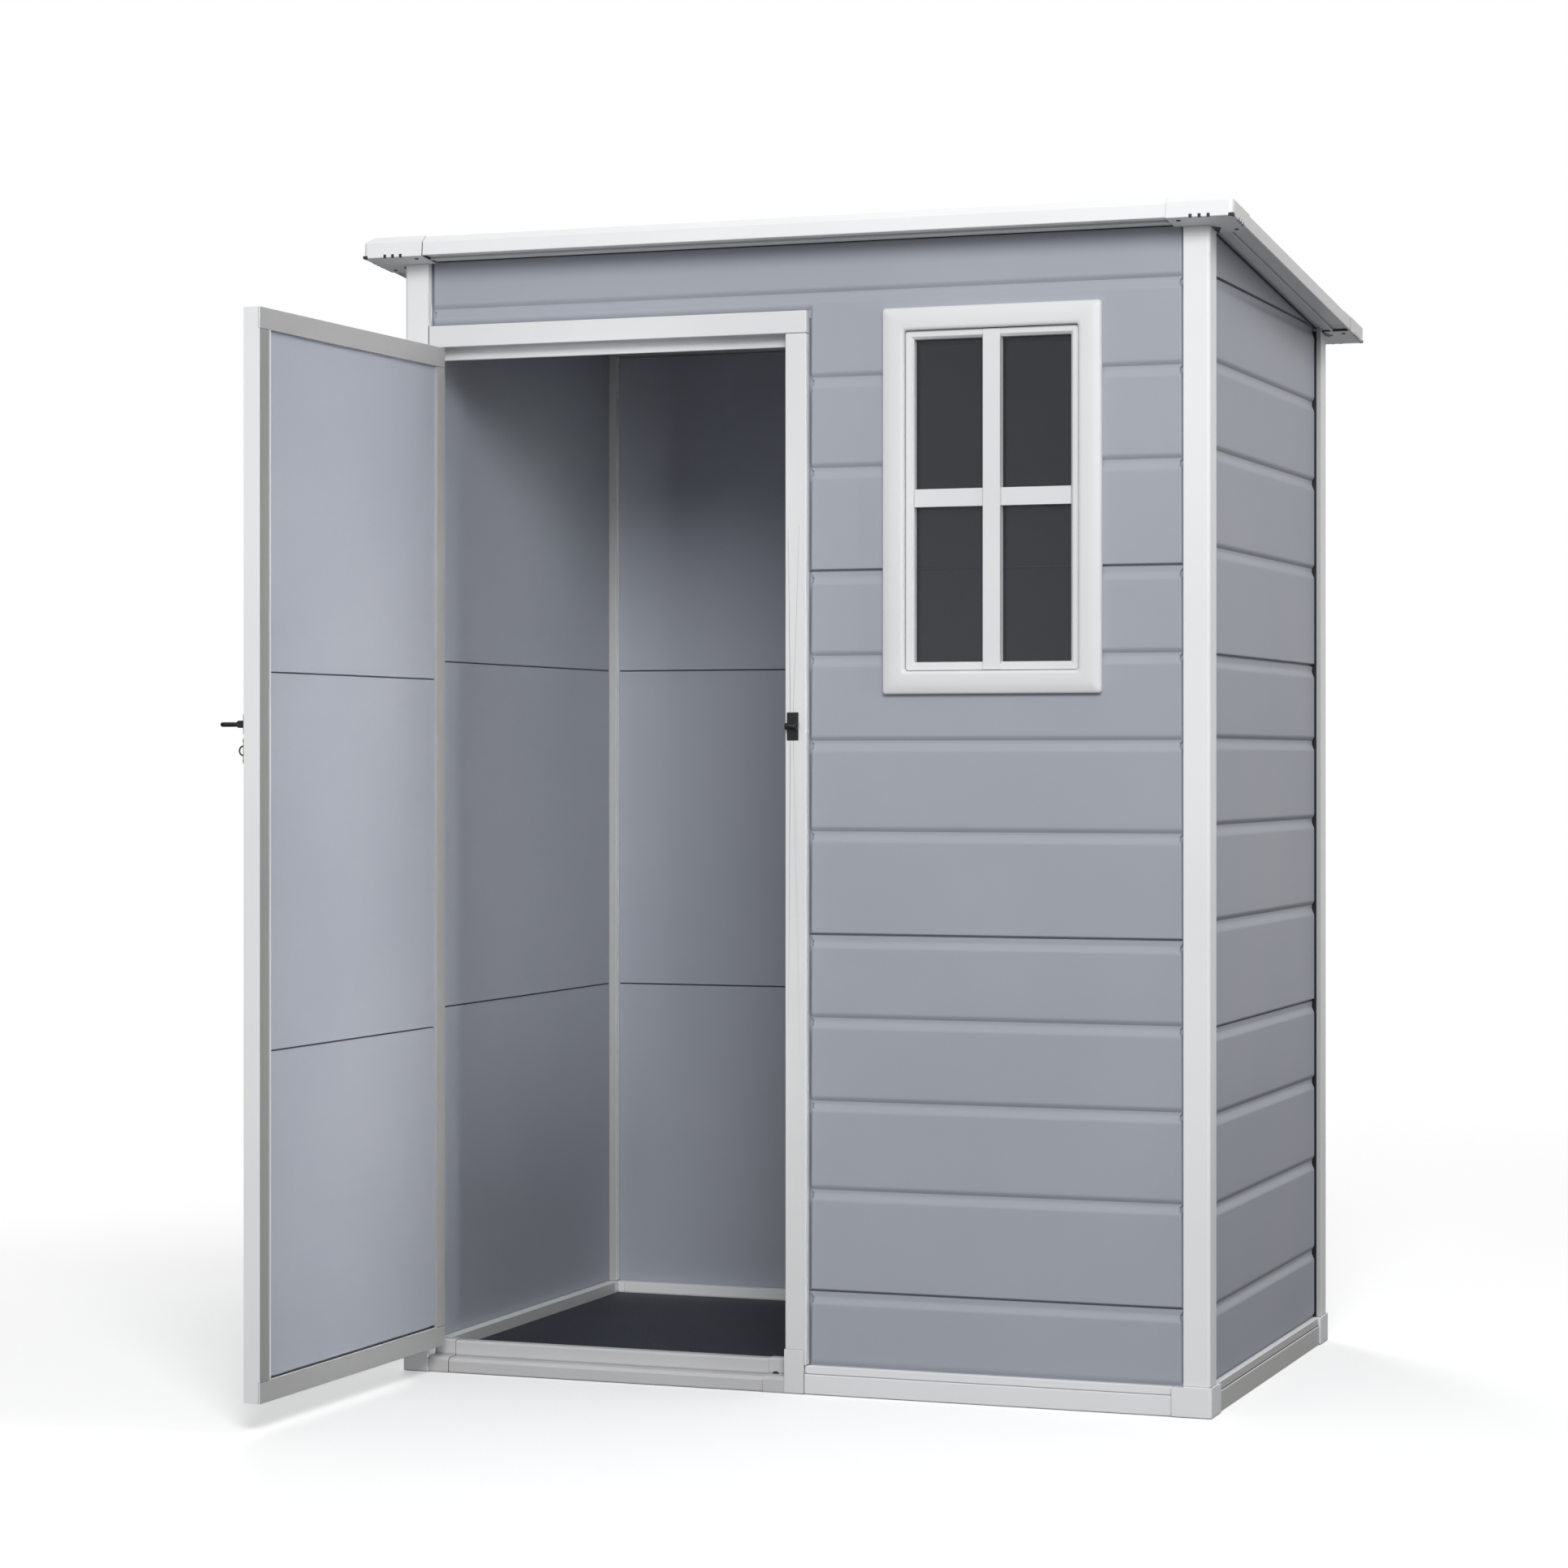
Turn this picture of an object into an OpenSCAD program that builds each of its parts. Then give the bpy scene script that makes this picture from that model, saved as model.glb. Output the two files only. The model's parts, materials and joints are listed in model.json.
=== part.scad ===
// Resin storage shed with a pent roof, one hinged door and a fixed four-light window.
// Millimetres. X runs along the front from left to right, Y runs from the front to the
// rear and Z is up. The origin is on the ground under the middle of the four walls.

/* [Walls] */
// Width between the outer faces of the left and right walls
wall_w = 1334; // [1300:1:1500]
// Depth between the outer faces of the front and rear walls
wall_d = 822; // [760:1:1000]
// Height of the front wall, to the underside of the roof
wall_top = 1824; // [1800:1:1860]
// Thickness of a wall panel
panel_t = 16; // [14:0.5:20]
// Thickness of a skin of a hollow panel
skin = 1.5; // [1.2:0.1:2]
// Depth of the groove between two boards
groove = 4; // [3:0.5:5]
// Height of the seam above the starter board, as a part of the front wall's height
front_seam_part_1 = 0.0902; // [0.08:0.0001:0.1]
// Height of the next seam, as a part of the front wall's height
front_seam_part_2 = 0.3995; // [0.38:0.0001:0.42]
// Height of the seam behind the window, as a part of the front wall's height
front_seam_part_3 = 0.715; // [0.69:0.0001:0.73]
// Height of the sloping top pieces of the side walls at the front
wedge_front = 72.2; // [60:0.1:80]

/* [Base] */
// Height of the base rails
rail_h = 45; // [40:1:55]
// Height of the proud skirt at the foot of a rail
skirt_h = 32; // [26:1:36]
// Distance from the outer face of a wall to the inner edge of its rail
rail_in = 36; // [32:1:44]
// Height of the outer sill bar in front of the door
sill_outer_h = 24; // [18:1:28]
// Height of the inner sill bar behind the door
sill_inner_h = 49; // [47:1:56]
// Height of the top of the floor
floor_top = 26; // [20:1:36]
// Length of a leg of a base corner
base_leg = 63; // [58:1:80]

/* [Posts and door frame] */
// Width of each outer face of a corner post
post_face = 42; // [38:1:50]
// Distance that the posts stand proud of the walls
post_proud = 10.5; // [8:0.5:14]
// Depth of the slots that hold the ends of the panels
slot_d = 12; // [10:1:14]
// Width of the face of the jamb and of the header
jamb_face = 36; // [32:1:44]
// Distance from the middle of the shed to the left edge of the jamb
jamb_left = 12; // [0:1:40]
// Distance from the underside of the roof down to the lower edge of the header
header_drop = 144; // [120:1:180]
// Height of the socket at the foot of the jamb
socket_h = 70; // [55:1:90]

/* [Door] */
// Angle that the door stands open in the drawing, 0 when it is shut
door_open = 91; // [0:1:110]
// Thickness of the door frame
door_t = 27.5; // [24:0.5:28]
// Width of the stiles of the door
stile_w = 28; // [26:1:40]
// Width of the rails of the door
rail_w = 32; // [30:1:40]
// Height of the lower edge of the door
door_bottom = 46; // [30:1:46]
// Length of a hinge
hinge_len = 90; // [70:5:110]
// Radius of the hinge barrel
barrel_r = 3.2; // [3:0.1:3.6]

/* [Bolt] */
// Height of the bolt, as a part of the height of the door's top
bolt_part = 0.6299; // [0.55:0.0001:0.7]
// Radius of the bolt rod
rod_r = 3.5; // [3:0.1:3.6]
// Travel of the bolt
bolt_throw = 18; // [16:0.5:18]
// Distance from the rod to the tip of its handle
handle_len = 47.5; // [42:0.5:56]

/* [Window] */
// Overall width of the window
window_w = 355; // [300:1:380]
// Overall height of the window
window_h = 606; // [540:1:620]
// Distance from the middle of the shed to the middle of the window
window_x = 328; // [300:1:350]
// Distance from the underside of the roof down to the middle of the window
window_drop = 414; // [390:1:440]
// Width of the outer frame of the window
window_face = 36; // [30:1:42]
// Width of a glazing bar
bar_w = 28; // [18:1:32]

/* [Roof] */
// Slope of the roof in degrees
pitch = 5.45; // [5.2:0.05:5.6]
// Overhang of the roof in front of the front wall
eave_front = 64; // [62:1:80]
// Overhang of the roof behind the rear wall
eave_rear = 83; // [62:1:90]
// Overhang of the roof beside each side wall
eave_side = 59; // [59:1:80]
// Thickness of the roof panels
roof_t = 27; // [24:1:32]
// Length of a leg of a roof corner cap
cap_leg = 104; // [90:1:130]

/* [Hidden] */
$fn = 48;

// Colours
panel_grey = [0.62, 0.64, 0.68];
trim_white = [0.92, 0.92, 0.93];
floor_dark = [0.17, 0.18, 0.22];
metal_black = [0.08, 0.08, 0.10];
glass_clear = [0.75, 0.82, 0.86, 0.4];
steel_grey = [0.6, 0.62, 0.64];

// Planes of the outer faces of the walls
x_left = -wall_w / 2;
x_right = wall_w / 2;
y_front = -wall_d / 2;
y_rear = wall_d / 2;

// Fits between pieces that slide together
slot_fit = 0.2;
end_gap = 0.3;

// Heights of the soft grooves, as parts of a panel's height measured down from its top
front_steps = [0.2337, 0.4674, 0.7166];
side_steps = [0.225, 0.458, 0.716];
// Seams of the front wall, and of the side and rear walls
front_seam_1 = wall_top * front_seam_part_1;
front_seam_2 = wall_top * front_seam_part_2;
front_seam_3 = wall_top * front_seam_part_3;
side_seam_3 = wall_top - wedge_front;
side_seam_1 = side_seam_3 * 0.3379;
side_seam_2 = side_seam_3 * 0.6665;
// Virtual height of the lowest side panel, which the base rail cuts short
side_first_h = side_seam_1 + 8;
// Virtual height of the topmost front panel, which the roof cuts short
front_last_h = front_seam_3 - front_seam_2;

// Profile of a board: where its lower edge, upper shoulder and recessed band lie
edge_round = 7;
shoulder_top = 6.5;
shoulder_h = 10.5;
seam_gap = 2.5;
seam_depth = 3;
tongue_h = 7;
tongue_0 = 9;
tongue_1 = 12;
// A board's raised face stops short of the posts, with rounded corners
board_end = 0.8;
board_corner = 6;
web = 1.8;

slot_floor = rail_h - slot_d;
wall_end = post_face - post_proud - slot_d + end_gap;
frame_back = panel_t + 6;
header_z = wall_top - header_drop;
header_top = header_z + jamb_face;
// Plane behind the door where its stops and the inner sill bar begin
stop_y = -post_proud + door_t + 0.5;
door_x0 = x_left - post_proud + post_face + 1;
door_x1 = -jamb_left - 2.6;
door_top = header_z - 2;
door_seam_1 = door_top * 0.3385;
door_seam_2 = door_top * 0.6764;
door_last_h = door_seam_2 - door_seam_1;
bolt_z = door_top * bolt_part;
window_z = wall_top - window_drop;
door_panel_set = 6;
door_slot = 10;
// The hinges turn about the outer edge of the door, just in front of it
hinge_x = door_x0;
hinge_y = y_front - post_proud - barrel_r - 0.3;
hinge_end = 204;
hinge_z = [door_bottom + hinge_end, (door_bottom + door_top) / 2, door_top - hinge_end];
cap_grow = 1.2;
corner_grow = 3;

// Wall frames: X along the wall as seen from outside, Y inwards from its outer face
module on_front() { translate([0, y_front, 0]) children(); }
module on_rear() { translate([0, y_rear, 0]) rotate([0, 0, 180]) children(); }
module on_right() { translate([x_right, 0, 0]) rotate([0, 0, 90]) children(); }
module on_left() { translate([x_left, 0, 0]) rotate([0, 0, -90]) children(); }
// Roof frame: Y runs down the slope and Z is square to it, from the top of the front wall
module on_roof() { translate([0, y_front, wall_top]) rotate([-pitch, 0, 0]) children(); }
// The door frame turns about the hinge
module hung() {
    translate([hinge_x, hinge_y, 0]) rotate([0, 0, -door_open])
        translate([-hinge_x, -hinge_y, 0]) children();
}
module along_x(x0, x1) { translate([x0, 0, 0]) rotate([90, 0, 90]) linear_extrude(x1 - x0) children(); }
module along_y(y0, y1) { translate([0, y1, 0]) rotate([90, 0, 0]) linear_extrude(y1 - y0) children(); }
module up(z0, z1) { translate([0, 0, z0]) linear_extrude(z1 - z0) children(); }
module box(x0, x1, y0, y1, z0, z1) { translate([x0, y0, z0]) cube([x1 - x0, y1 - y0, z1 - z0]); }
module rect(a0, a1, b0, b1) { translate([a0, b0]) square([a1 - a0, b1 - b0]); }
// Everything above the underside of the roof
module above_roof() { on_roof() box(-wall_w, wall_w, -wall_d, 2 * wall_d, 0, wall_top / 2); }

// A quarter of a circle as points, for corners that only the eye depends on
function arc(cx, cy, r, from, to, n = 4) =
    [for (i = [0:n]) let (a = from + (to - from) * i / n) [cx + r * cos(a), cy + r * sin(a)]];
// Heights of the soft grooves of a panel that starts at z0 with virtual height h, below z1
function grooves(z1, h, steps, z0) = [for (i = [len(steps) - 1:-1:0]) let (z = z1 - h * steps[i]) if (z > z0 + 20) z];

// Outer surface of one board, from its lower edge up to its top
function board(zb, zt, soft) = concat(
    soft ? [[groove, zb], [groove * 0.35, zb + edge_round * 0.35], [0, zb + edge_round]] : [[0, zb]],
    [[0, zt - shoulder_top - shoulder_h],
     [groove * 0.28, zt - shoulder_top - shoulder_h * 0.6],
     [groove * 0.75, zt - shoulder_top - shoulder_h * 0.2],
     [groove, zt - shoulder_top]]);
// Section of a panel across its boards, with a tongue on top and a slot below where asked
module panel_section(z0, z1, cuts, tongue, slot) {
    edges = concat([z0], cuts, [z1]);
    n = len(edges) - 1;
    difference() {
        polygon(concat(
            [for (i = [0:n - 1]) each board(edges[i], edges[i + 1], i > 0)],
            tongue ? [[groove, z1 - seam_gap], [groove + seam_depth, z1 - seam_gap],
                      [groove + seam_depth, z1], [tongue_0, z1], [tongue_0, z1 + tongue_h],
                      [tongue_1, z1 + tongue_h], [tongue_1, z1]]
                   : [[groove, z1]],
            [[panel_t, z1], [panel_t, z0]],
            slot ? [[tongue_1 + slot_fit, z0], [tongue_1 + slot_fit, z0 + tongue_h + 0.5],
                    [tongue_0 - slot_fit, z0 + tongue_h + 0.5], [tongue_0 - slot_fit, z0]] : []));
        for (i = [0:n - 1])
            rect(skin, panel_t - skin, edges[i] + (i == 0 ? edge_round + 5 : edge_round + 2),
                edges[i + 1] - shoulder_top - shoulder_h - 2 * web);
        if (n > 1)
            for (z = cuts)
                rect(groove + skin, panel_t - skin, z - shoulder_top - shoulder_h - web, z + edge_round);
    }
}
// The raised face of one board, with rounded ends
module board_face(x0, x1, zb, zt) {
    r = min(board_corner, (zt - zb) / 2 - 1);
    along_y(-1, groove + 1) polygon(concat(
        [[x0, zb], [x1, zb]],
        arc(x1 - r, zt - shoulder_top - r, r, 0, 90),
        arc(x0 + r, zt - shoulder_top - r, r, 90, 180)));
}
module board_faces(x0, x1, z0, z1, cuts) {
    edges = concat([z0], cuts, [z1]);
    for (i = [0:len(edges) - 2]) board_face(x0, x1, edges[i], edges[i + 1]);
}
// A wall panel between two posts
module board_panel(x0, x1, z0, z1, cuts, tongue = true, slot = true, rebate = slot_d + board_end,
                   foot = 0, head = 0) {
    intersection() {
        along_x(x0, x1) panel_section(z0, z1, cuts, tongue, slot);
        union() {
            box(x0, x1, groove, panel_t, z0, z1 + tongue_h);
            board_faces(x0 + rebate, x1 - rebate, z0 + foot, z1 - head, cuts);
        }
    }
}
// The foot of a lowest panel stands in the slot of its rail, where it has no raised face
rail_foot = slot_d + 1.5;

// Base
module rail_section() {
    difference() {
        polygon([[-post_proud, 0], [-post_proud, skirt_h - 1], [-post_proud + 1, skirt_h],
                 [-post_proud + 2.5, skirt_h], [-post_proud + 2.5, rail_h], [groove - slot_fit, rail_h],
                 [groove - slot_fit, slot_floor], [panel_t + slot_fit, slot_floor],
                 [panel_t + slot_fit, rail_h], [rail_in, rail_h], [rail_in, 0]]);
        rect(-post_proud + 3, rail_in - 3, 3, slot_floor - 3);
    }
}
module base_rail(x0, x1) { color(trim_white) along_x(x0, x1) rail_section(); }
corner_out = post_proud + corner_grow;
side_rail_end = wall_d / 2 + corner_out - base_leg;
wide_rail_end = wall_w / 2 + corner_out - base_leg;
socket_x0 = -jamb_left - 1;
socket_x1 = jamb_face - jamb_left - 4;
module base_rail_front() { on_front() base_rail(socket_x1, wide_rail_end); }
module base_rail_left() { on_left() base_rail(-side_rail_end, side_rail_end); }
module base_rail_right() { on_right() base_rail(-side_rail_end, side_rail_end); }
module base_rail_rear() { on_rear() base_rail(-wide_rail_end, wide_rail_end); }

// One base corner with its outer corner at the origin, legs along +X and +Y
spigot_h = 30;
spigot_fit = 0.3;
module base_corner(leg_x, leg_y, front_slot = true) {
    out = corner_out;
    inner = out + rail_in;
    r = 5;
    slot_0 = out + groove - slot_fit;
    slot_1 = out + panel_t + slot_fit;
    slot_end = corner_grow + post_face;
    difference() {
        union() {
            up(0, rail_h) polygon(concat([[leg_x, 0], [leg_x, inner], [inner, inner], [inner, leg_y], [0, leg_y]],
                arc(r, r, r, 180, 270)));
            up(rail_h, rail_h + 2) difference() {
                polygon(concat([[slot_end, 0], [slot_end, slot_end], [0, slot_end]], arc(r, r, r, 180, 270)));
                rect(corner_grow, leg_x + 1, corner_grow, leg_y + 1);
            }
            up(rail_h, rail_h + spigot_h)
                rect(cavity_0 + spigot_fit, cavity_1 - spigot_fit, cavity_0 + spigot_fit, cavity_1 - spigot_fit);
        }
        if (front_slot) box(slot_end - slot_d - 1, leg_x + 1, slot_0, slot_1, slot_floor, rail_h + 3);
        box(slot_0, slot_1, slot_end - slot_d - 1, leg_y + 1, slot_floor, rail_h + 3);
        up(-1, rail_h - 4) rect(3, leg_x - 3, 3, out + 1);
    }
}
// Hollow of a post, measured from its outer corner, shown here for a base corner
cavity_0 = corner_grow + 3;
cavity_1 = corner_grow + post_face - slot_d - 3;
front_left_leg = corner_grow + post_face;
module base_corners() {
    color(trim_white) {
        translate([x_left - corner_out, y_front - corner_out, 0]) base_corner(front_left_leg, base_leg, false);
        translate([x_right + corner_out, y_front - corner_out, 0]) mirror([1, 0, 0]) base_corner(base_leg, base_leg);
        translate([x_left - corner_out, y_rear + corner_out, 0]) mirror([0, 1, 0]) base_corner(base_leg, base_leg);
        translate([x_right + corner_out, y_rear + corner_out, 0]) rotate([0, 0, 180]) base_corner(base_leg, base_leg);
    }
}
module jamb_socket() {
    front = -post_proud - 1.5;
    color(trim_white) on_front() {
        box(socket_x0, socket_x1, front, rail_in, 0, slot_floor);
        box(socket_x0, socket_x1, front, groove - slot_fit, slot_floor, rail_h);
        box(socket_x0, slot_d - slot_fit, groove - slot_fit, rail_in, slot_floor, rail_h);
        box(slot_d - slot_fit, socket_x1, panel_t + slot_fit, rail_in, slot_floor, rail_h);
        box(socket_x0, socket_x1, front, -post_proud, rail_h, socket_h);
        box(socket_x0, -jamb_left, -post_proud, panel_t - 0.2, rail_h, socket_h);
        box(jamb_in_0 + spigot_fit, jamb_in_1 - spigot_fit, -post_proud + 3 + spigot_fit,
            panel_t - 3 - spigot_fit, rail_h, rail_h + spigot_h);
    }
}

// Sill in front of the door opening
sill_x0 = x_left - corner_out + front_left_leg;
sill_x1 = socket_x0;
sill_end_l = 36;
module sill_outer_section(grow = 0) {
    polygon([[-post_proud - grow, 0], [-post_proud - grow, sill_outer_h - 5 + grow],
             [-post_proud + 5, sill_outer_h + grow], [stop_y - 0.2, sill_outer_h + grow], [stop_y - 0.2, 0]]);
}
module sill_inner_section(grow = 0) {
    polygon([[stop_y, 0], [stop_y, sill_inner_h - 3 + grow], [stop_y + 3, sill_inner_h + grow],
             [rail_in, sill_inner_h + grow], [rail_in, 0]]);
}
module sill_outer_bar() {
    color(trim_white) on_front() along_x(sill_x0 + sill_end_l, sill_x1 - sill_end_l) difference() {
        sill_outer_section();
        rect(-post_proud + 5, stop_y - 3, 2.5, sill_outer_h - 5);
    }
}
module sill_inner_bar() {
    color(trim_white) on_front() along_x(sill_x0 + sill_end_l, sill_x1 - sill_end_l) difference() {
        sill_inner_section();
        rect(stop_y + 3, rail_in - 3, 2.5, sill_inner_h - 5);
    }
}
module sill_end(x0, x1, hole_x) {
    difference() {
        union() {
            along_x(x0, x1) sill_outer_section(1.2);
            along_x(x0, x1) sill_inner_section(1.2);
            box(x0, x1, stop_y - 0.2, stop_y, 0, sill_outer_h);
        }
        translate([hole_x, stop_y - 6, sill_outer_h - 6]) cylinder(r = 3.5, h = 10);
    }
}
module sill_ends() {
    color(trim_white) on_front() {
        sill_end(sill_x0, sill_x0 + sill_end_l, sill_x0 + sill_end_l / 2);
        sill_end(sill_x1 - sill_end_l, sill_x1, sill_x1 - sill_end_l / 2);
    }
}

// Floor: two moulded plates on ribs
floor_skin = 5;
floor_rib = 3;
floor_pitch = 62;
module floor_half() {
    w = wall_w / 2 - rail_in - end_gap;
    d = wall_d - 2 * rail_in - 2 * end_gap;
    box(0, w, -d / 2, d / 2, floor_top - floor_skin, floor_top);
    for (i = [0:floor(w / floor_pitch)])
        let (x = min(i * floor_pitch, w - floor_rib)) box(x, x + floor_rib, -d / 2, d / 2, 0, floor_top - floor_skin);
    for (s = [-1, 0, 1])
        let (y = s * (d / 2 - floor_rib / 2)) box(0, w, y - floor_rib / 2, y + floor_rib / 2, 0, floor_top - floor_skin);
}
module floor_panel_right() { color(floor_dark) floor_half(); }
module floor_panel_left() { color(floor_dark) mirror([1, 0, 0]) floor_half(); }

// Corner posts: section with its outer corner at the origin
module post_section(front_slot = true) {
    r = 5;
    slot_0 = post_proud + groove - slot_fit;
    slot_1 = post_proud + panel_t + slot_fit;
    difference() {
        polygon(concat([[post_face, 0], [post_face, post_face], [0, post_face]], arc(r, r, r, 180, 270)));
        if (front_slot) rect(post_face - slot_d, post_face + 1, slot_0, slot_1);
        rect(slot_0, slot_1, post_face - slot_d, post_face + 1);
        rect(3, post_face - slot_d - 3, 3, post_face - slot_d - 3);
    }
}
module post(front_slot = true) { up(rail_h, wall_top + 20) post_section(front_slot); }
module post_front_left() {
    color(trim_white) difference() {
        translate([x_left - post_proud, y_front - post_proud, 0]) union() {
            up(rail_h, header_top - slot_d) post_section(false);
            up(header_top - slot_d, wall_top + 20) post_section();
        }
        above_roof();
        on_front() for (z = hinge_bores) bolt_bore([hinge_x - leaf_w / 2 - 4, 0, z]);
    }
}
module post_front_right() {
    color(trim_white) difference() {
        translate([x_right + post_proud, y_front - post_proud, 0]) mirror([1, 0, 0]) post();
        above_roof();
    }
}
module post_rear_left() {
    color(trim_white) difference() {
        translate([x_left - post_proud, y_rear + post_proud, 0]) mirror([0, 1, 0]) post();
        above_roof();
    }
}
module post_rear_right() {
    color(trim_white) difference() {
        translate([x_right + post_proud, y_rear + post_proud, 0]) rotate([0, 0, 180]) post();
        above_roof();
    }
}

// Door jamb and header share a section: a face, a slot for the panels and a stop lip
jamb_in_0 = -jamb_left + 3;
jamb_in_1 = jamb_face - jamb_left - slot_d - 3;
jamb_stop = 8;
header_stop = 19;
module door_jamb() {
    x1 = jamb_face - jamb_left;
    color(trim_white) on_front() difference() {
        union() {
            up(rail_h, header_z) difference() {
                rect(-jamb_left, x1, -post_proud, frame_back);
                rect(x1 - slot_d, x1 + 1, groove - slot_fit, panel_t + slot_fit);
                rect(jamb_in_0, jamb_in_1, -post_proud + 3, panel_t - 3);
            }
            up(sill_inner_h + 2, header_z) rect(-jamb_left - jamb_stop, -jamb_left, stop_y, frame_back);
        }
        for (z = [-1, 1]) bolt_bore([keeper_x, 0, bolt_z + z * keeper_screw]);
    }
}
module door_header() {
    x0 = x_left - post_proud + post_face;
    x1 = jamb_face - jamb_left;
    color(trim_white) on_front() {
        difference() {
            along_x(x0, x1) rect(-post_proud, frame_back, header_z, header_top);
            along_x(x0 - 1, x1 + 1) rect(groove - slot_fit, panel_t + slot_fit, header_top - slot_d, header_top + 1);
            along_x(x0 - 1, x1 - slot_d - 3) rect(-post_proud + 3, frame_back - 3, header_z + 3, header_top - slot_d - 3);
            box(x1 - slot_d, x1 + 1, groove - slot_fit, panel_t + slot_fit, header_z - 1, header_top + 1);
        }
        along_x(x0, -jamb_left - jamb_stop) rect(stop_y, frame_back, header_z - header_stop, header_z);
    }
}

// Front wall
front_x0 = jamb_face - jamb_left - slot_d + end_gap;
front_x1 = wall_w / 2 - wall_end;
window_hole = 14;
module window_cut() {
    box(window_x - window_w / 2 + window_hole, window_x + window_w / 2 - window_hole, -20, panel_t + 20,
        window_z - window_h / 2 + window_hole, window_z + window_h / 2 - window_hole);
}
module front_starter_panel() {
    color(panel_grey) on_front() board_panel(front_x0, front_x1, slot_floor, front_seam_1, [], slot = false, foot = rail_foot);
}
module front_lower_panel() {
    color(panel_grey) on_front() board_panel(front_x0, front_x1, front_seam_1, front_seam_2,
        grooves(front_seam_2, front_seam_2 - front_seam_1, front_steps, front_seam_1));
}
module front_middle_panel() {
    color(panel_grey) on_front() difference() {
        board_panel(front_x0, front_x1, front_seam_2, front_seam_3,
            grooves(front_seam_3, front_seam_3 - front_seam_2, front_steps, front_seam_2));
        window_cut();
    }
}
module front_upper_panel() {
    z1 = front_seam_3 + front_last_h;
    cuts = grooves(z1, front_last_h, front_steps, front_seam_3);
    left = -front_x1;
    over = header_top - slot_d + end_gap;
    rebate = slot_d + board_end;
    color(panel_grey) difference() {
        on_front() difference() {
            intersection() {
                along_x(left, front_x1) panel_section(front_seam_3, z1, cuts, false, true);
                union() {
                    box(front_x0, front_x1, groove, panel_t, front_seam_3, z1);
                    box(left, front_x1, groove, panel_t, over, z1);
                    board_faces(front_x0 + rebate, front_x1 - rebate, front_seam_3, z1, cuts);
                    board_face(left + rebate, front_x1 - rebate, header_top + 1, cuts[2]);
                    board_face(left + rebate, front_x1 - rebate, cuts[2], z1);
                }
            }
            window_cut();
        }
        above_roof();
    }
}

// Side and rear walls
side_x = wall_d / 2 - wall_end;
rear_x = wall_w / 2 - wall_end;
module plain_lower(x) {
    board_panel(-x, x, slot_floor, side_seam_1, grooves(side_seam_1, side_first_h, side_steps, slot_floor),
        slot = false, foot = rail_foot);
}
module plain_middle(x) {
    board_panel(-x, x, side_seam_1, side_seam_2,
        grooves(side_seam_2, side_seam_2 - side_seam_1, side_steps, side_seam_1));
}
module plain_upper(x, tongue) {
    board_panel(-x, x, side_seam_2, side_seam_3,
        grooves(side_seam_3, side_seam_3 - side_seam_2, side_steps, side_seam_2), tongue = tongue);
}
module left_lower_panel() { color(panel_grey) on_left() plain_lower(side_x); }
module right_lower_panel() { color(panel_grey) on_right() plain_lower(side_x); }
module rear_lower_panel() { color(panel_grey) on_rear() plain_lower(rear_x); }
module left_middle_panel() { color(panel_grey) on_left() plain_middle(side_x); }
module right_middle_panel() { color(panel_grey) on_right() plain_middle(side_x); }
module rear_middle_panel() { color(panel_grey) on_rear() plain_middle(rear_x); }
module left_upper_panel() {
    color(panel_grey) difference() { on_left() plain_upper(side_x, true); above_roof(); }
}
module right_upper_panel() {
    color(panel_grey) difference() { on_right() plain_upper(side_x, true); above_roof(); }
}
module rear_upper_panel() {
    color(panel_grey) difference() { on_rear() plain_upper(rear_x, false); above_roof(); }
}
// Roof beam and the pockets that it lies in
beam_w = 40;
beam_h = 24;
beam_pocket = 8;
beam_y = wall_d / 2 / cos(pitch);
module beam_space(gap) {
    on_roof() box(x_left + panel_t - beam_pocket - gap, x_right - panel_t + beam_pocket + gap,
        beam_y - beam_w / 2 - gap, beam_y + beam_w / 2 + gap, -beam_h, 1);
}
wedge_h = wedge_front + panel_t;
module wedge_panel() {
    intersection() {
        along_x(-side_x, side_x) difference() {
            rect(0, panel_t, side_seam_3, side_seam_3 + wedge_h);
            rect(tongue_0 - slot_fit, tongue_1 + slot_fit, side_seam_3 - 1, side_seam_3 + tongue_h + 0.5);
        }
        union() {
            box(-side_x, side_x, groove, panel_t, side_seam_3, side_seam_3 + wedge_h);
            box(-side_x + slot_d + board_end, side_x - slot_d - board_end, 0, groove,
                side_seam_3, side_seam_3 + wedge_h);
        }
    }
}
module side_wedge_panels() {
    color(panel_grey) difference() {
        union() {
            on_left() wedge_panel();
            on_right() wedge_panel();
        }
        above_roof();
        beam_space(end_gap);
        // The thin end behind this line would be a feather edge
        box(x_left - 1, x_right + 1, wedge_tail, y_rear, side_seam_3 - 1, wall_top);
    }
}
wedge_tail = y_front + (wall_top - side_seam_3 - 4) / tan(pitch);
module roof_beam() {
    color(steel_grey) difference() {
        beam_space(0);
        on_roof() box(x_left, x_right, beam_y - beam_w / 2 + 2, beam_y + beam_w / 2 - 2, -beam_h + 2, -2);
        on_roof() box(x_left, x_right, beam_y - beam_w, beam_y + beam_w, 0, 2);
    }
}

// A mitred ring in the XY plane. The child is its section: X inwards from the outer edge, Y up
module ring_leg(w, h, reach) {
    intersection() {
        translate([0, -h / 2, 0]) along_x(-w / 2, w / 2) children();
        up(-reach, reach) polygon([[-w / 2, -h / 2], [w / 2, -h / 2], [w / 2 - reach, reach - h / 2],
                               [reach - w / 2, reach - h / 2]]);
    }
}
module ring(w, h, reach) {
    for (s = [0, 180]) {
        rotate([0, 0, s]) ring_leg(w, h, reach) children();
        rotate([0, 0, s + 90]) ring_leg(h, w, reach) children();
    }
}
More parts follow.
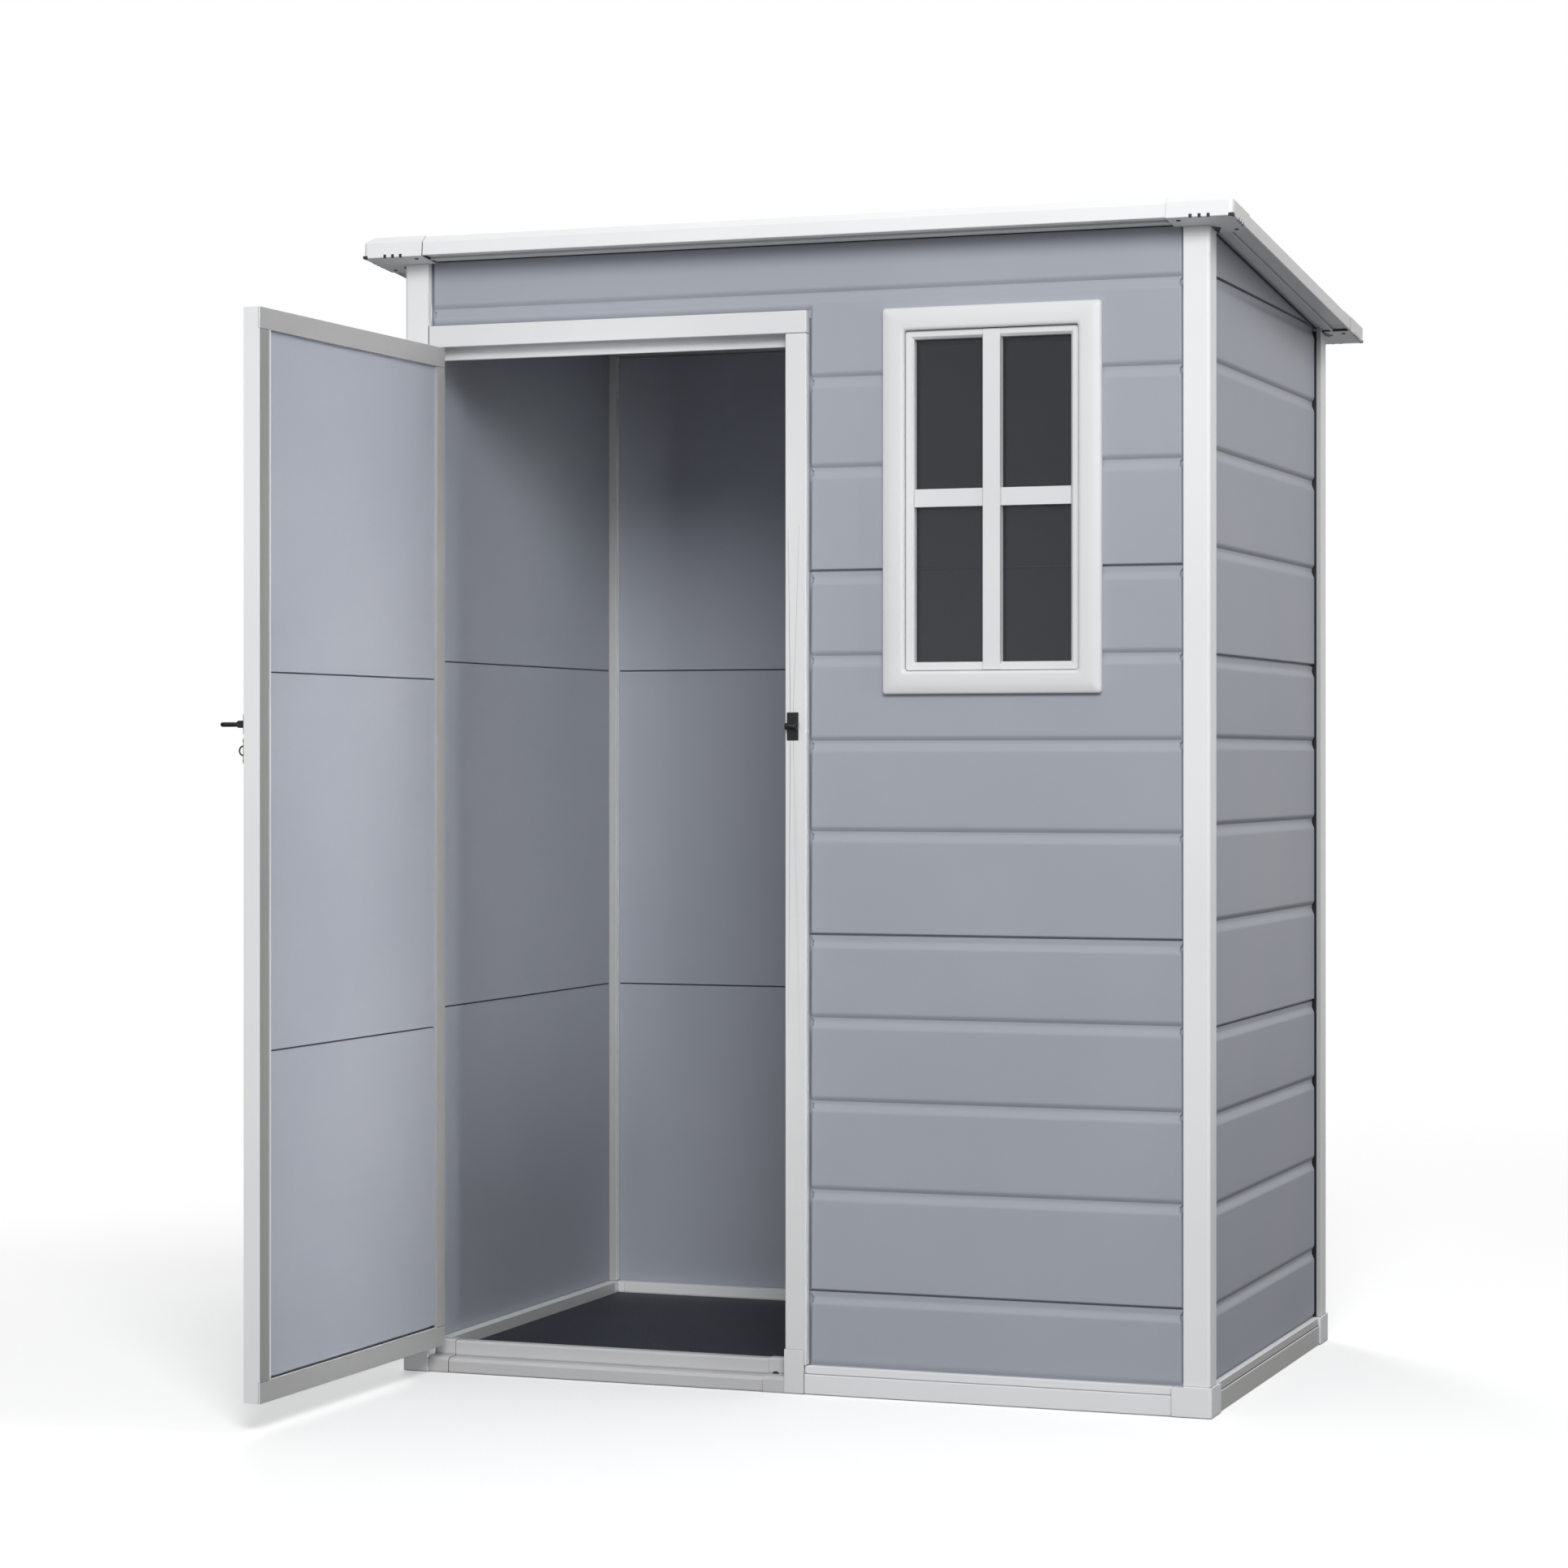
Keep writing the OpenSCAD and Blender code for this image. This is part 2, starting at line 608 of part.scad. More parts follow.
// Window frame of reference: X and Y in the plane of the wall, Z outwards from its face
module on_window() { translate([window_x, y_front, window_z]) rotate([90, 0, 0]) children(); }
window_proud = 13;
lip_back = -10;
sash_back = lip_back - 3;
window_sleeve = 3;
sash_face = 14;
bar_raise = 4;
bar_face = 5;
module window_frame() {
    f = window_face;
    s = window_hole + end_gap;
    color(trim_white) on_window() ring(window_w, window_h, f) polygon([
        [0, 0], [0, window_proud - 5], [3, window_proud - 2], [f - 6, window_proud], [f, window_proud - 3],
        [f, lip_back], [f - 3, lip_back], [f - 3, -3], [s + window_sleeve, -3],
        [s + window_sleeve, -panel_t], [s, -panel_t], [s, 0]]);
}
module window_sash() {
    f = window_face;
    s = window_hole + end_gap + window_sleeve + 1;
    inner_w = window_w - 2 * (f + sash_face);
    inner_h = window_h - 2 * (f + sash_face);
    color(trim_white) on_window() {
        ring(window_w, window_h, f + sash_face) polygon([
            [f + slot_fit, 4], [f + sash_face - 4, 4], [f + sash_face, 0], [f + sash_face, sash_back],
            [s, sash_back], [s, lip_back], [f + slot_fit, lip_back]]);
        box(-bar_w / 2, bar_w / 2, -inner_h / 2, inner_h / 2, sash_back, bar_face);
        // The upright bar runs on over the sash up to the outer frame
        box(-bar_w / 2, bar_w / 2, f + 1 - window_h / 2, window_h / 2 - f - 1, 0, bar_face);
        for (side = [-1, 1])
            translate([side * (inner_w / 4 + bar_w / 4), bar_raise, 0])
                box(-inner_w / 4 + bar_w / 4, inner_w / 4 - bar_w / 4, -bar_w / 2, bar_w / 2, sash_back, 1.5);
    }
}
module window_pane() {
    inset = window_hole + end_gap + window_sleeve + 2;
    color(glass_clear) on_window() box(-window_w / 2 + inset, window_w / 2 - inset,
        -window_h / 2 + inset, window_h / 2 - inset, -panel_t, sash_back);
}
module window_inner_trim() {
    w = window_face + 2;
    color(trim_white) on_window() translate([0, 0, -panel_t])
        ring(window_w - window_face / 3, window_h - window_face / 3, w) polygon([
            [0, 0], [0, -3], [3, -6], [w - 2, -6], [w, -4], [w, 0]]);
}

// Roof, in the roof frame
roof_edge = 37;
roof_len = wall_d / cos(pitch);
ring_w = wall_w + 2 * eave_side;
ring_y0 = -eave_front / cos(pitch);
ring_y1 = roof_len + eave_rear / cos(pitch);
ring_h = ring_y1 - ring_y0;
fascia_top = roof_t + 2;
panel_y0 = ring_y0 + roof_edge + end_gap;
panel_y1 = ring_y1 - roof_edge - end_gap;
panel_x1 = ring_w / 2 - roof_edge - end_gap;
roof_boards = 6;
roof_groove = 3;
module roof_section() {
    step = panel_x1 / roof_boards;
    difference() {
        rect(0, panel_x1, 0, roof_t);
        for (i = [0:roof_boards - 1]) {
            rect(i * step + web, (i + 1) * step - web, skin, roof_t - skin - roof_groove - 1);
            if (i > 0) translate([i * step, roof_t])
                polygon([[-8, 0.01], [-4, -roof_groove], [4, -roof_groove], [8, 0.01]]);
        }
    }
}
module roof_half() { on_roof() along_y(panel_y0, panel_y1) roof_section(); }
module roof_panel_right() { color(panel_grey) roof_half(); }
module roof_panel_left() { color(panel_grey) mirror([1, 0, 0]) roof_half(); }
strip_in = 14;
module roof_joint_strip() {
    color(trim_white) on_roof() along_y(panel_y0 + strip_in + 1, panel_y1 - strip_in - 1)
        polygon([[-25, roof_t], [25, roof_t], [22, roof_t + 3], [-22, roof_t + 3]]);
}
// Section of the fascia: X inwards from its outer face, Y square to the roof
drop = 5;
strip_0 = 30;
strip_1 = 56;
bevel = 12;
module fascia_section(grow = 0) {
    w = roof_edge;
    low = -drop - grow;
    high = fascia_top + grow;
    difference() {
        polygon([[-grow, low + 1], [1 - grow, low], [4, low], [4, low + 3], [strip_0, low + 3], [strip_0, low],
                 [strip_0 + 3, low], [strip_0 + 3, low + 1.5], [strip_1, low + 1.5], [strip_1, 0], [w, 0],
                 [w, roof_t], [w + strip_in, roof_t], [w + strip_in, high], [bevel - grow / 2, high],
                 [-grow, high - bevel]]);
        polygon([[3, 0], [w - 3, 0], [w - 3, roof_t - 2], [bevel + 1, roof_t - 2], [3, roof_t - bevel]]);
    }
}
module on_ring() { on_roof() translate([0, (ring_y0 + ring_y1) / 2, 0]) children(); }
module fascia_run(length, across) {
    translate([0, -across / 2, 0]) along_x(-length / 2 + cap_leg, length / 2 - cap_leg) fascia_section();
}
module fascia_front() { color(trim_white) on_ring() fascia_run(ring_w, ring_h); }
module fascia_rear() { color(trim_white) on_ring() rotate([0, 0, 180]) fascia_run(ring_w, ring_h); }
// The room of the walls and posts under the roof, out of which the soffits are cut
module under_roof() {
    x = wall_w / 2 + post_proud + end_gap;
    y = wall_d / 2 + post_proud + end_gap;
    difference() {
        box(-x, x, -y, y, side_seam_2, 2 * wall_top);
        above_roof();
    }
}
module fascia_sides() {
    color(trim_white) difference() {
        on_ring() for (s = [-90, 90]) rotate([0, 0, s]) fascia_run(ring_h, ring_w);
        under_roof();
    }
}
// One corner cap at the outer corner, legs along +X and +Y
cap_slots = [38, 52, 66];
slot_w = 5;
slot_h = 4;
module cap_leg_solid() {
    intersection() {
        along_x(-cap_grow, cap_leg) fascia_section(cap_grow);
        up(-20, roof_t + 20) polygon([[-cap_grow, -cap_grow], [cap_leg + 1, -cap_grow],
            [cap_leg + 1, cap_leg + 1]]);
    }
}
module roof_cap() {
    r = 8;
    difference() {
        union() {
            cap_leg_solid();
            mirror([1, -1, 0]) cap_leg_solid();
        }
        up(-20, roof_t + 20) difference() {
            rect(-cap_grow - 1, r - cap_grow, -cap_grow - 1, r - cap_grow);
            translate([r - cap_grow, r - cap_grow]) circle(r);
        }
        for (d = cap_slots) {
            box(d - slot_w / 2, d + slot_w / 2, -cap_grow - 1, 2.5, -drop - 5, slot_h - drop);
            box(-cap_grow - 1, 2.5, d - slot_w / 2, d + slot_w / 2, -drop - 5, slot_h - drop);
        }
    }
}
module roof_caps() {
    x = ring_w / 2;
    y = ring_h / 2;
    color(trim_white) difference() {
        on_ring() {
            translate([-x, -y, 0]) roof_cap();
            translate([x, -y, 0]) mirror([1, 0, 0]) roof_cap();
            translate([-x, y, 0]) mirror([0, 1, 0]) roof_cap();
            translate([x, y, 0]) rotate([0, 0, 180]) roof_cap();
        }
        under_roof();
    }
}

// Hinges: three knuckles, a leaf on the post and a leaf on the door
leaf_t = 2;
leaf_w = 26;
pin_r = 1.5;
knuckle = hinge_len / 3;
hinge_screws = [-32, 0, 32];
module on_hinge(z) { translate([hinge_x, hinge_y, z]) children(); }
// Leaf from the barrel towards +X, between the barrel and the face that carries it
module leaf(outer) {
    back = barrel_r + 0.3;
    gap = 0.4;
    z0 = -hinge_len / 2;
    difference() {
        union() {
            box(barrel_r + 0.8, leaf_w, back - leaf_t, back, z0, -z0);
            for (i = outer ? [0, 2] : [1])
                translate([0, 0, z0 + i * knuckle]) {
                    up(outer ? 0 : gap, outer ? knuckle : knuckle - gap) circle(barrel_r);
                    box(0, leaf_w, back - leaf_t, back, outer ? 0 : gap, outer ? knuckle : knuckle - gap);
                }
        }
        if (!outer) up(z0, -z0) circle(pin_r + 0.06);
        for (z = hinge_screws) translate([leaf_w / 2 + 4, back - 5, z]) rotate([-90, 0, 0]) cylinder(r = screw_r, h = 12);
    }
}
module hinge_leaves_frame() {
    color(metal_black) for (z = hinge_z) on_hinge(z) mirror([1, 0, 0]) union() {
        leaf(true);
        up(-hinge_len / 2, hinge_len / 2) circle(pin_r);
    }
}
module hinge_leaves_door() { color(metal_black) hung() for (z = hinge_z) on_hinge(z) leaf(false); }

// Screws: domed heads with a cross slot on short shanks
screw_r = 1.8;
head_r = 4;
head_h = 1.5;
// Screw with its head's underside at the origin, pointing along +Y into the material
module screw(r = head_r) {
    rotate([-90, 0, 0]) difference() {
        union() {
            translate([0, 0, -head_h]) cylinder(r = r, h = head_h);
            cylinder(r = screw_r - 0.05, h = 7);
        }
        for (a = [0, 90]) rotate([0, 0, a]) box(-2.4, 2.4, -0.5, 0.5, -head_h - 1, -head_h + 0.9);
    }
}
// Pilot hole into a frame member, in the front wall's frame
module bolt_bore(p) {
    translate([p[0], -post_proud - 1, p[2]]) rotate([-90, 0, 0]) cylinder(r = screw_r, h = 9);
}
keeper_w = 19;
keeper_h = 44;
keeper_x = -jamb_left + 3.8 + keeper_w / 2;
keeper_screw = 14;
plate_t = 1.5;
rod_h = 7.9;
module bolt_keeper() {
    color(metal_black) on_front() translate([keeper_x, -post_proud, bolt_z]) difference() {
        union() {
            box(-keeper_w / 2, keeper_w / 2, -plate_t, 0, -keeper_h / 2, keeper_h / 2);
            bridge(-keeper_w / 2, keeper_w / 2);
        }
        translate([-keeper_w, -rod_h, 0]) rotate([0, 90, 0]) cylinder(r = rod_r + 0.4, h = 2 * keeper_w);
        for (s = [-1, 1]) translate([0, -5, s * keeper_screw]) rotate([-90, 0, 0]) cylinder(r = screw_r, h = 9);
    }
}
// A strap over the rod, between two places along it, before it is bored
module bridge(x0, x1) {
    r = rod_r + 2;
    translate([x0, -rod_h, 0]) rotate([0, 90, 0]) cylinder(r = r, h = x1 - x0);
    box(x0, x1, -rod_h, 0, -r, r);
}
module frame_screws() {
    color(metal_black) {
        on_front() for (s = [-1, 1]) translate([keeper_x, -post_proud - plate_t, bolt_z + s * keeper_screw]) screw();
        for (z = hinge_z) for (s = hinge_screws)
            on_hinge(z) translate([-leaf_w / 2 - 4, barrel_r + 0.3 - leaf_t, s]) screw(3.4);
    }
}

// Door, drawn shut in the front wall's frame and turned open about the hinge
module on_door() { hung() on_front() children(); }
door_face = -post_proud;
door_back = -post_proud + door_t;
door_set = door_face + door_panel_set;
tab = 3;
module stile(x0, x1, slot_x0, slot_x1) {
    difference() {
        box(x0, x1, door_face, door_back, door_bottom, door_top);
        box(slot_x0, slot_x1, door_set + groove - slot_fit, door_set + panel_t + slot_fit,
            door_bottom + rail_w - door_slot, door_top - rail_w + door_slot);
        box(x0 - 1, x1 + 1, door_back - tab, door_back + 1, door_bottom - 1, door_bottom + rail_w);
        box(x0 - 1, x1 + 1, door_back - tab, door_back + 1, door_top - rail_w, door_top + 1);
        box(min(x0, x1) + 4, max(x0, x1) - door_slot - 4, door_face + 3, door_back - 3 - tab,
            door_bottom + 3, door_top - 3);
    }
}
hinge_bores = [for (z = hinge_z) for (s = hinge_screws) z + s];
module door_hinge_stile() {
    color(trim_white) on_door() difference() {
        stile(door_x0, door_x0 + stile_w, door_x0 + stile_w - door_slot, door_x0 + stile_w + 1);
        for (z = hinge_bores) bolt_bore([hinge_x + leaf_w / 2 + 4, 0, z]);
    }
}
module door_lock_stile() {
    color(trim_white) on_door() difference() {
        translate([door_x0 + door_x1, 0, 0]) mirror([1, 0, 0])
            stile(door_x0, door_x0 + stile_w, door_x0 + stile_w - door_slot, door_x0 + stile_w + 1);
        for (p = concat(plate_screws, staple_screws)) bolt_bore([door_x1 - p[0], 0, bolt_z + p[1]]);
    }
}
module door_rail(z0, z1, slot_z0, slot_z1) {
    x0 = door_x0 + stile_w;
    x1 = door_x1 - stile_w;
    difference() {
        union() {
            box(x0, x1, door_face, door_back, z0, z1);
            box(door_x0, door_x1, door_back - tab, door_back, z0, z1);
        }
        box(x0 - 1, x1 + 1, door_set + groove - slot_fit, door_set + panel_t + slot_fit, slot_z0, slot_z1);
        box(x0 - 1, x1 + 1, door_face + 3, door_back - 3 - tab, min(z0, z1) + 3, min(z0, z1) + 4);
    }
}
module door_bottom_rail() {
    z1 = door_bottom + rail_w;
    color(trim_white) on_door() door_rail(door_bottom, z1, z1 - door_slot, z1 + 1);
}
module door_top_rail() {
    z0 = door_top - rail_w;
    color(trim_white) on_door() door_rail(z0, door_top, z0 - 1, z0 + door_slot);
}
door_panel_x0 = door_x0 + stile_w - door_slot + end_gap;
door_panel_x1 = door_x1 - stile_w + door_slot - end_gap;
door_panel_z0 = door_bottom + rail_w - door_slot;
door_panel_z1 = door_top - rail_w + door_slot - end_gap;
door_foot = door_slot + 1.5;
module door_boards(z0, z1, cuts, tongue = true, slot = true, foot = 0, head = 0) {
    on_door() translate([0, door_set, 0]) board_panel(door_panel_x0, door_panel_x1, z0, z1, cuts,
        tongue, slot, door_slot + board_end, foot, head);
}
module door_lower_panel() {
    color(panel_grey) door_boards(door_panel_z0, door_seam_1,
        grooves(door_seam_1, door_last_h, front_steps, door_panel_z0), slot = false, foot = door_foot);
}
module door_middle_panel() {
    color(panel_grey) door_boards(door_seam_1, door_seam_2,
        grooves(door_seam_2, door_seam_2 - door_seam_1, front_steps, door_seam_1));
}
module door_upper_panel() {
    color(panel_grey) door_boards(door_seam_2, door_panel_z1,
        [for (i = [2:-1:0]) door_seam_2 + door_last_h * (1 - front_steps[i])], tongue = false, head = door_foot);
}

// Bolt, placed by the distance from the door's free edge
guide_1 = [1, 5.5];
guide_2 = [36, 46];
plate_len = 62;
plate_half = 15;
handle_rest = 29.5;
rod_end = 1;
rod_tail = 58;
collar_w = 8;
collar_r = 6;
neck_r = 2.9;
running = 0.06;
plate_screws = [[20.5, -11.3], [20.5, 11.3]];
staple_drop = 39.6;
staple_in = 6;
staple_screw = 14.5;
staple_screws = [[staple_in, -staple_drop - staple_screw], [staple_in, -staple_drop + staple_screw]];
// Frame at the free edge: X away from the edge along the door, Y into the door, Z up from the rod
module on_bolt() { on_door() translate([door_x1, door_face, bolt_z]) mirror([1, 0, 0]) children(); }
module cross_bore(r, x0, x1) { translate([x0, -rod_h, 0]) rotate([0, 90, 0]) cylinder(r = r, h = x1 - x0); }
module bolt_plate() {
    color(metal_black) on_bolt() difference() {
        union() {
            box(guide_1[0], plate_len, -plate_t, 0, -plate_half, plate_half);
            bridge(guide_1[0], guide_1[1]);
            bridge(guide_2[0], guide_2[1]);
        }
        cross_bore(rod_r + running, 0, plate_len + 1);
        for (p = plate_screws) translate([p[0], -5, p[1]]) rotate([-90, 0, 0]) cylinder(r = screw_r, h = 9);
    }
}
module padlock_staple() {
    ring_r = 7;
    wire_r = 1.2;
    color(metal_black) on_bolt() translate([staple_in, 0, -staple_drop]) difference() {
        union() {
            box(-5, 5, -plate_t, 0, -19, 19);
            difference() {
                translate([0, -3.2, 0]) rotate([0, 90, 0]) rotate_extrude() translate([ring_r, 0]) circle(wire_r);
                box(-5, 5, -plate_t / 2, 20, -19, 19);
            }
        }
        for (s = [-1, 1]) translate([0, -5, s * staple_screw]) rotate([-90, 0, 0]) cylinder(r = screw_r, h = 9);
    }
}
module bolt_rod() {
    color(metal_black) on_bolt() {
        cross_bore(rod_r, rod_end, handle_rest - collar_w / 2);
        cross_bore(neck_r, rod_end, rod_tail);
        cross_bore(rod_r, handle_rest + collar_w / 2, rod_tail);
    }
}
module bolt_handle() {
    bar_r = 3.65;
    eye = 5.3;
    color(metal_black) on_bolt() translate([handle_rest, -rod_h, 0]) difference() {
        union() {
            translate([-collar_w / 2 + slot_fit, 0, 0]) rotate([0, 90, 0])
                cylinder(r = collar_r, h = collar_w - 2 * slot_fit);
            rotate([90, 0, 0]) {
                cylinder(r = bar_r, h = handle_len - bar_r);
                translate([0, 0, collar_r - 1]) cylinder(r1 = 5.4, r2 = 5.4, h = 2);
                translate([0, 0, collar_r + 1]) cylinder(r1 = 5.4, r2 = bar_r, h = 2);
                translate([0, 0, handle_len - bar_r]) sphere(bar_r);
            }
        }
        rotate([0, 90, 0]) translate([0, 0, -collar_w]) cylinder(r = neck_r + running, h = 2 * collar_w);
        translate([-bar_r - 1, eye - handle_len, 0]) rotate([0, 90, 0]) cylinder(r = 2, h = 2 * bar_r + 2);
    }
}
module door_screws() {
    color(metal_black) {
        hung() for (z = hinge_z) for (s = hinge_screws)
            on_hinge(z) translate([leaf_w / 2 + 4, barrel_r + 0.3 - leaf_t, s]) screw(3.4);
        on_bolt() for (p = concat(plate_screws, staple_screws)) translate([p[0], -plate_t, p[1]]) screw(3.2);
    }
}

base_rail_front();
base_rail_left();
base_rail_right();
base_rail_rear();
base_corners();
jamb_socket();
sill_outer_bar();
sill_inner_bar();
sill_ends();
floor_panel_left();
floor_panel_right();
post_front_left();
post_front_right();
post_rear_left();
post_rear_right();
door_jamb();
door_header();
front_starter_panel();
front_lower_panel();
front_middle_panel();
front_upper_panel();
left_lower_panel();
left_middle_panel();
left_upper_panel();
right_lower_panel();
right_middle_panel();
right_upper_panel();
side_wedge_panels();
rear_lower_panel();
rear_middle_panel();
rear_upper_panel();
window_frame();
window_sash();
window_pane();
window_inner_trim();
roof_panel_left();
roof_panel_right();
roof_joint_strip();
roof_beam();
fascia_front();
fascia_rear();
fascia_sides();
roof_caps();
hinge_leaves_frame();
bolt_keeper();
frame_screws();
door_hinge_stile();
door_lock_stile();
door_top_rail();
door_bottom_rail();
door_lower_panel();
door_middle_panel();
door_upper_panel();
hinge_leaves_door();
bolt_plate();
padlock_staple();
door_screws();
bolt_rod();
bolt_handle();
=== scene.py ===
"""Looks of a small resin storage shed with a pent roof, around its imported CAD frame.

Lengths are in metres. X runs along the front from left to right, Y from the front to the rear, Z up,
and the origin is on the ground under the middle of the four walls.
"""

import json
import math

import bpy
import numpy as np
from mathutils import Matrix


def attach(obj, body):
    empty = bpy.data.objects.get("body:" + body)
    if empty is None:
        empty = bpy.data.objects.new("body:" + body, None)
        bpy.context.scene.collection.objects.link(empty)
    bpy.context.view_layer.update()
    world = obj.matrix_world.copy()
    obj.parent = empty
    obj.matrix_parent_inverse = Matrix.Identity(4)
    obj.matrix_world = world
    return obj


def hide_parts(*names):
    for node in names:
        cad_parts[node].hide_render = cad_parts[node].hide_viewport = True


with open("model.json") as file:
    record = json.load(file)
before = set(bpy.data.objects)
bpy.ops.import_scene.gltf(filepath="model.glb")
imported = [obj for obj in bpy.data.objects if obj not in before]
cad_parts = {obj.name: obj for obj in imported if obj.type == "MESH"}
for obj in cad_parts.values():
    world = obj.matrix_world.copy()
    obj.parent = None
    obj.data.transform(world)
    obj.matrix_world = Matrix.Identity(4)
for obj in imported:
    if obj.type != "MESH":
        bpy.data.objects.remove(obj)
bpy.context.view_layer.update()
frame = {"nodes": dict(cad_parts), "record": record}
MM = 0.001

# Outer faces of the walls, thickness of the wall panels, and depth of the grooves between boards
WALL_X = 0.667
WALL_Y = 0.411
PANEL_T = 0.016
GROOVE = 0.0041
# How far a panel's end lies in its post, the gap to its raised boards, and how far their ends are rounded
TONGUE = 0.0122
END_GAP = 0.0022
ROUND_END = 0.0036
# Notch at the upper corners of every board: how far in, how far under its top, and half its height
NOTCH_IN, NOTCH_DOWN, NOTCH_HALF = 0.0054, 0.006, 0.0075
# Roof plane over the walls: height at the front wall and slope
WALL_TOP = 1.824
PITCH = math.radians(5.45)
ROOF_SLOPE = math.tan(PITCH)
# Heights of the seams between panels, and grooves between boards as parts of a panel, down from its top
FRONT_SEAMS = (0.1645, 0.7287, 1.3042)
SIDE_SEAMS = (0.5919, 1.1675, 1.7518)
FRONT_STEPS = (0.2337, 0.4674, 0.7166)
SIDE_STEPS = (0.225, 0.458, 0.716)
# Top of the base rails, and floor of the slot in them that the lowest panels stand in
RAIL_TOP = 0.045
SLOT_FLOOR = 0.033
# Door: hinge axis, opening angle, how far its panels stand before the wall, and their seams
HINGE_X, HINGE_Y = -0.6345, -0.425
DOOR_OPEN = math.radians(91)
DOOR_FORWARD = 0.0045
DOOR_SEAMS = (0.568, 1.135)
# Uncut heights of the front wall's top panel, the side walls' lowest panels, and the door's end panels
FRONT_WHOLE, SIDE_WHOLE, DOOR_WHOLE = 0.5755, 0.6, 0.567
# How far the lowest boards stand over the slot's floor
BOARD_FOOT = 13.5 * MM
# Underside of the front wall's strip over the header, and where its raised board begins
HEADER_TOP, LINTEL_LOW = 1.7043, 1.717


class Nodes:
    """A material's node tree with short calls for the nodes that this shed's finishes use."""

    def __init__(self, name):
        self.material = bpy.data.materials.new(name)
        self.material.use_nodes = True
        self.tree = self.material.node_tree
        self.shader = self.tree.nodes["Principled BSDF"]
        self.output = self.tree.nodes["Material Output"]
        self.coord = self.tree.nodes.new("ShaderNodeTexCoord")

    def add(self, kind, **values):
        """A new node of that kind, with values set on it."""
        node = self.tree.nodes.new(kind)
        for key, value in values.items():
            setattr(node, key, value)
        return node

    def link(self, a, b):
        """Joins an output to an input."""
        self.tree.links.new(a, b)

    def noise(self, scale, detail=3, rough=0.55, stretch=(1, 1, 1)):
        """Noise at that many waves a metre, drawn out along the axes by stretch."""
        mapping = self.add("ShaderNodeMapping")
        mapping.inputs["Scale"].default_value = stretch
        self.link(self.coord.outputs["Object"], mapping.inputs["Vector"])
        noise = self.add("ShaderNodeTexNoise")
        noise.inputs["Scale"].default_value = scale
        noise.inputs["Detail"].default_value = detail
        noise.inputs["Roughness"].default_value = rough
        self.link(mapping.outputs["Vector"], noise.inputs["Vector"])
        return noise.outputs["Fac"]

    def spread(self, value, low, high, from_low=0.3, from_high=0.7):
        """Maps a texture's middle range onto low to high."""
        node = self.add("ShaderNodeMapRange")
        self.link(value, node.inputs["Value"])
        node.inputs["From Min"].default_value = from_low
        node.inputs["From Max"].default_value = from_high
        node.inputs["To Min"].default_value = low
        node.inputs["To Max"].default_value = high
        return node.outputs["Result"]

    def mix(self, factor, a, b):
        """A colour between a and b."""
        node = self.add("ShaderNodeMix", data_type="RGBA")
        self.link(factor, node.inputs["Factor"])
        for socket, value in ((node.inputs[6], a), (node.inputs[7], b)):
            if hasattr(value, "links"):
                self.link(value, socket)
            else:
                socket.default_value = (*value, 1)
        return node.outputs[2]

    def bump(self, height, strength, distance):
        """Relief of that distance in metres, from a texture's values."""
        node = self.add("ShaderNodeBump")
        node.inputs["Strength"].default_value = strength
        node.inputs["Distance"].default_value = distance
        self.link(height, node.inputs["Height"])
        self.link(node.outputs["Normal"], self.shader.inputs["Normal"])


def srgb(*levels):
    """Linear values of display levels from 0 to 255."""
    c = np.array(levels, float) / 255
    return tuple(np.where(c <= 0.04045, c / 12.92, ((c + 0.055) / 1.055) ** 2.4))


def moulded(name, shade, pale, rough, grain, depth, crevice=0.0):
    """Moulded resin: a slow mottle between two shades, and a fine grain in roughness and bump.

    Joints and corners narrower than crevice get painted shade: the colour darkens where they are occluded.
    """
    n = Nodes(name)
    colour = n.mix(n.spread(n.noise(3.1, 4), 0, 1), shade, pale)
    if crevice:
        # painted shade: occlusion darkens the colour in narrow joints and corners
        hollow = n.add("ShaderNodeAmbientOcclusion", samples=8)
        hollow.inputs["Distance"].default_value = crevice
        painted_shade = tuple(0.3 * c for c in shade)
        colour = n.mix(n.spread(hollow.outputs["AO"], 0, 1, 0.25, 0.85), painted_shade, colour)
    n.link(colour, n.shader.inputs["Base Color"])
    fine = n.noise(grain, 2, 0.6)
    n.link(n.spread(fine, rough - 0.06, rough + 0.06), n.shader.inputs["Roughness"])
    n.bump(fine, 0.35, depth)
    n.shader.inputs["Specular IOR Level"].default_value = 0.4
    return n.material


def panel_resin():
    """Blue-grey board panels, with a faint slow mottle under a moulded grain."""
    return moulded("panel_resin", srgb(162, 167, 177), srgb(167, 171, 180), 0.52, 900, 0.00012)


def trim_resin():
    """White trims, smoother than the panels, with painted shade in their narrow joints."""
    return moulded("trim_resin", srgb(236, 237, 239), srgb(241, 242, 243), 0.42, 1100, 0.00005,
                   crevice=5 * MM)


def frame_resin():
    """The resin of the window and the jamb, a little greyer than the posts and the eaves, with painted shade
    in its narrow joints.
    """
    return moulded("frame_resin", srgb(224, 225, 227), srgb(229, 230, 231), 0.42, 1100, 0.00005,
                   crevice=5 * MM)


def sill_resin():
    """The resin of the sill, rougher than the trims, greyer as painted shade and with painted shade in its
    joints.
    """
    return moulded("sill_resin", srgb(200, 200, 201), srgb(208, 208, 209), 0.5, 1000, 0.00006, crevice=6 * MM)


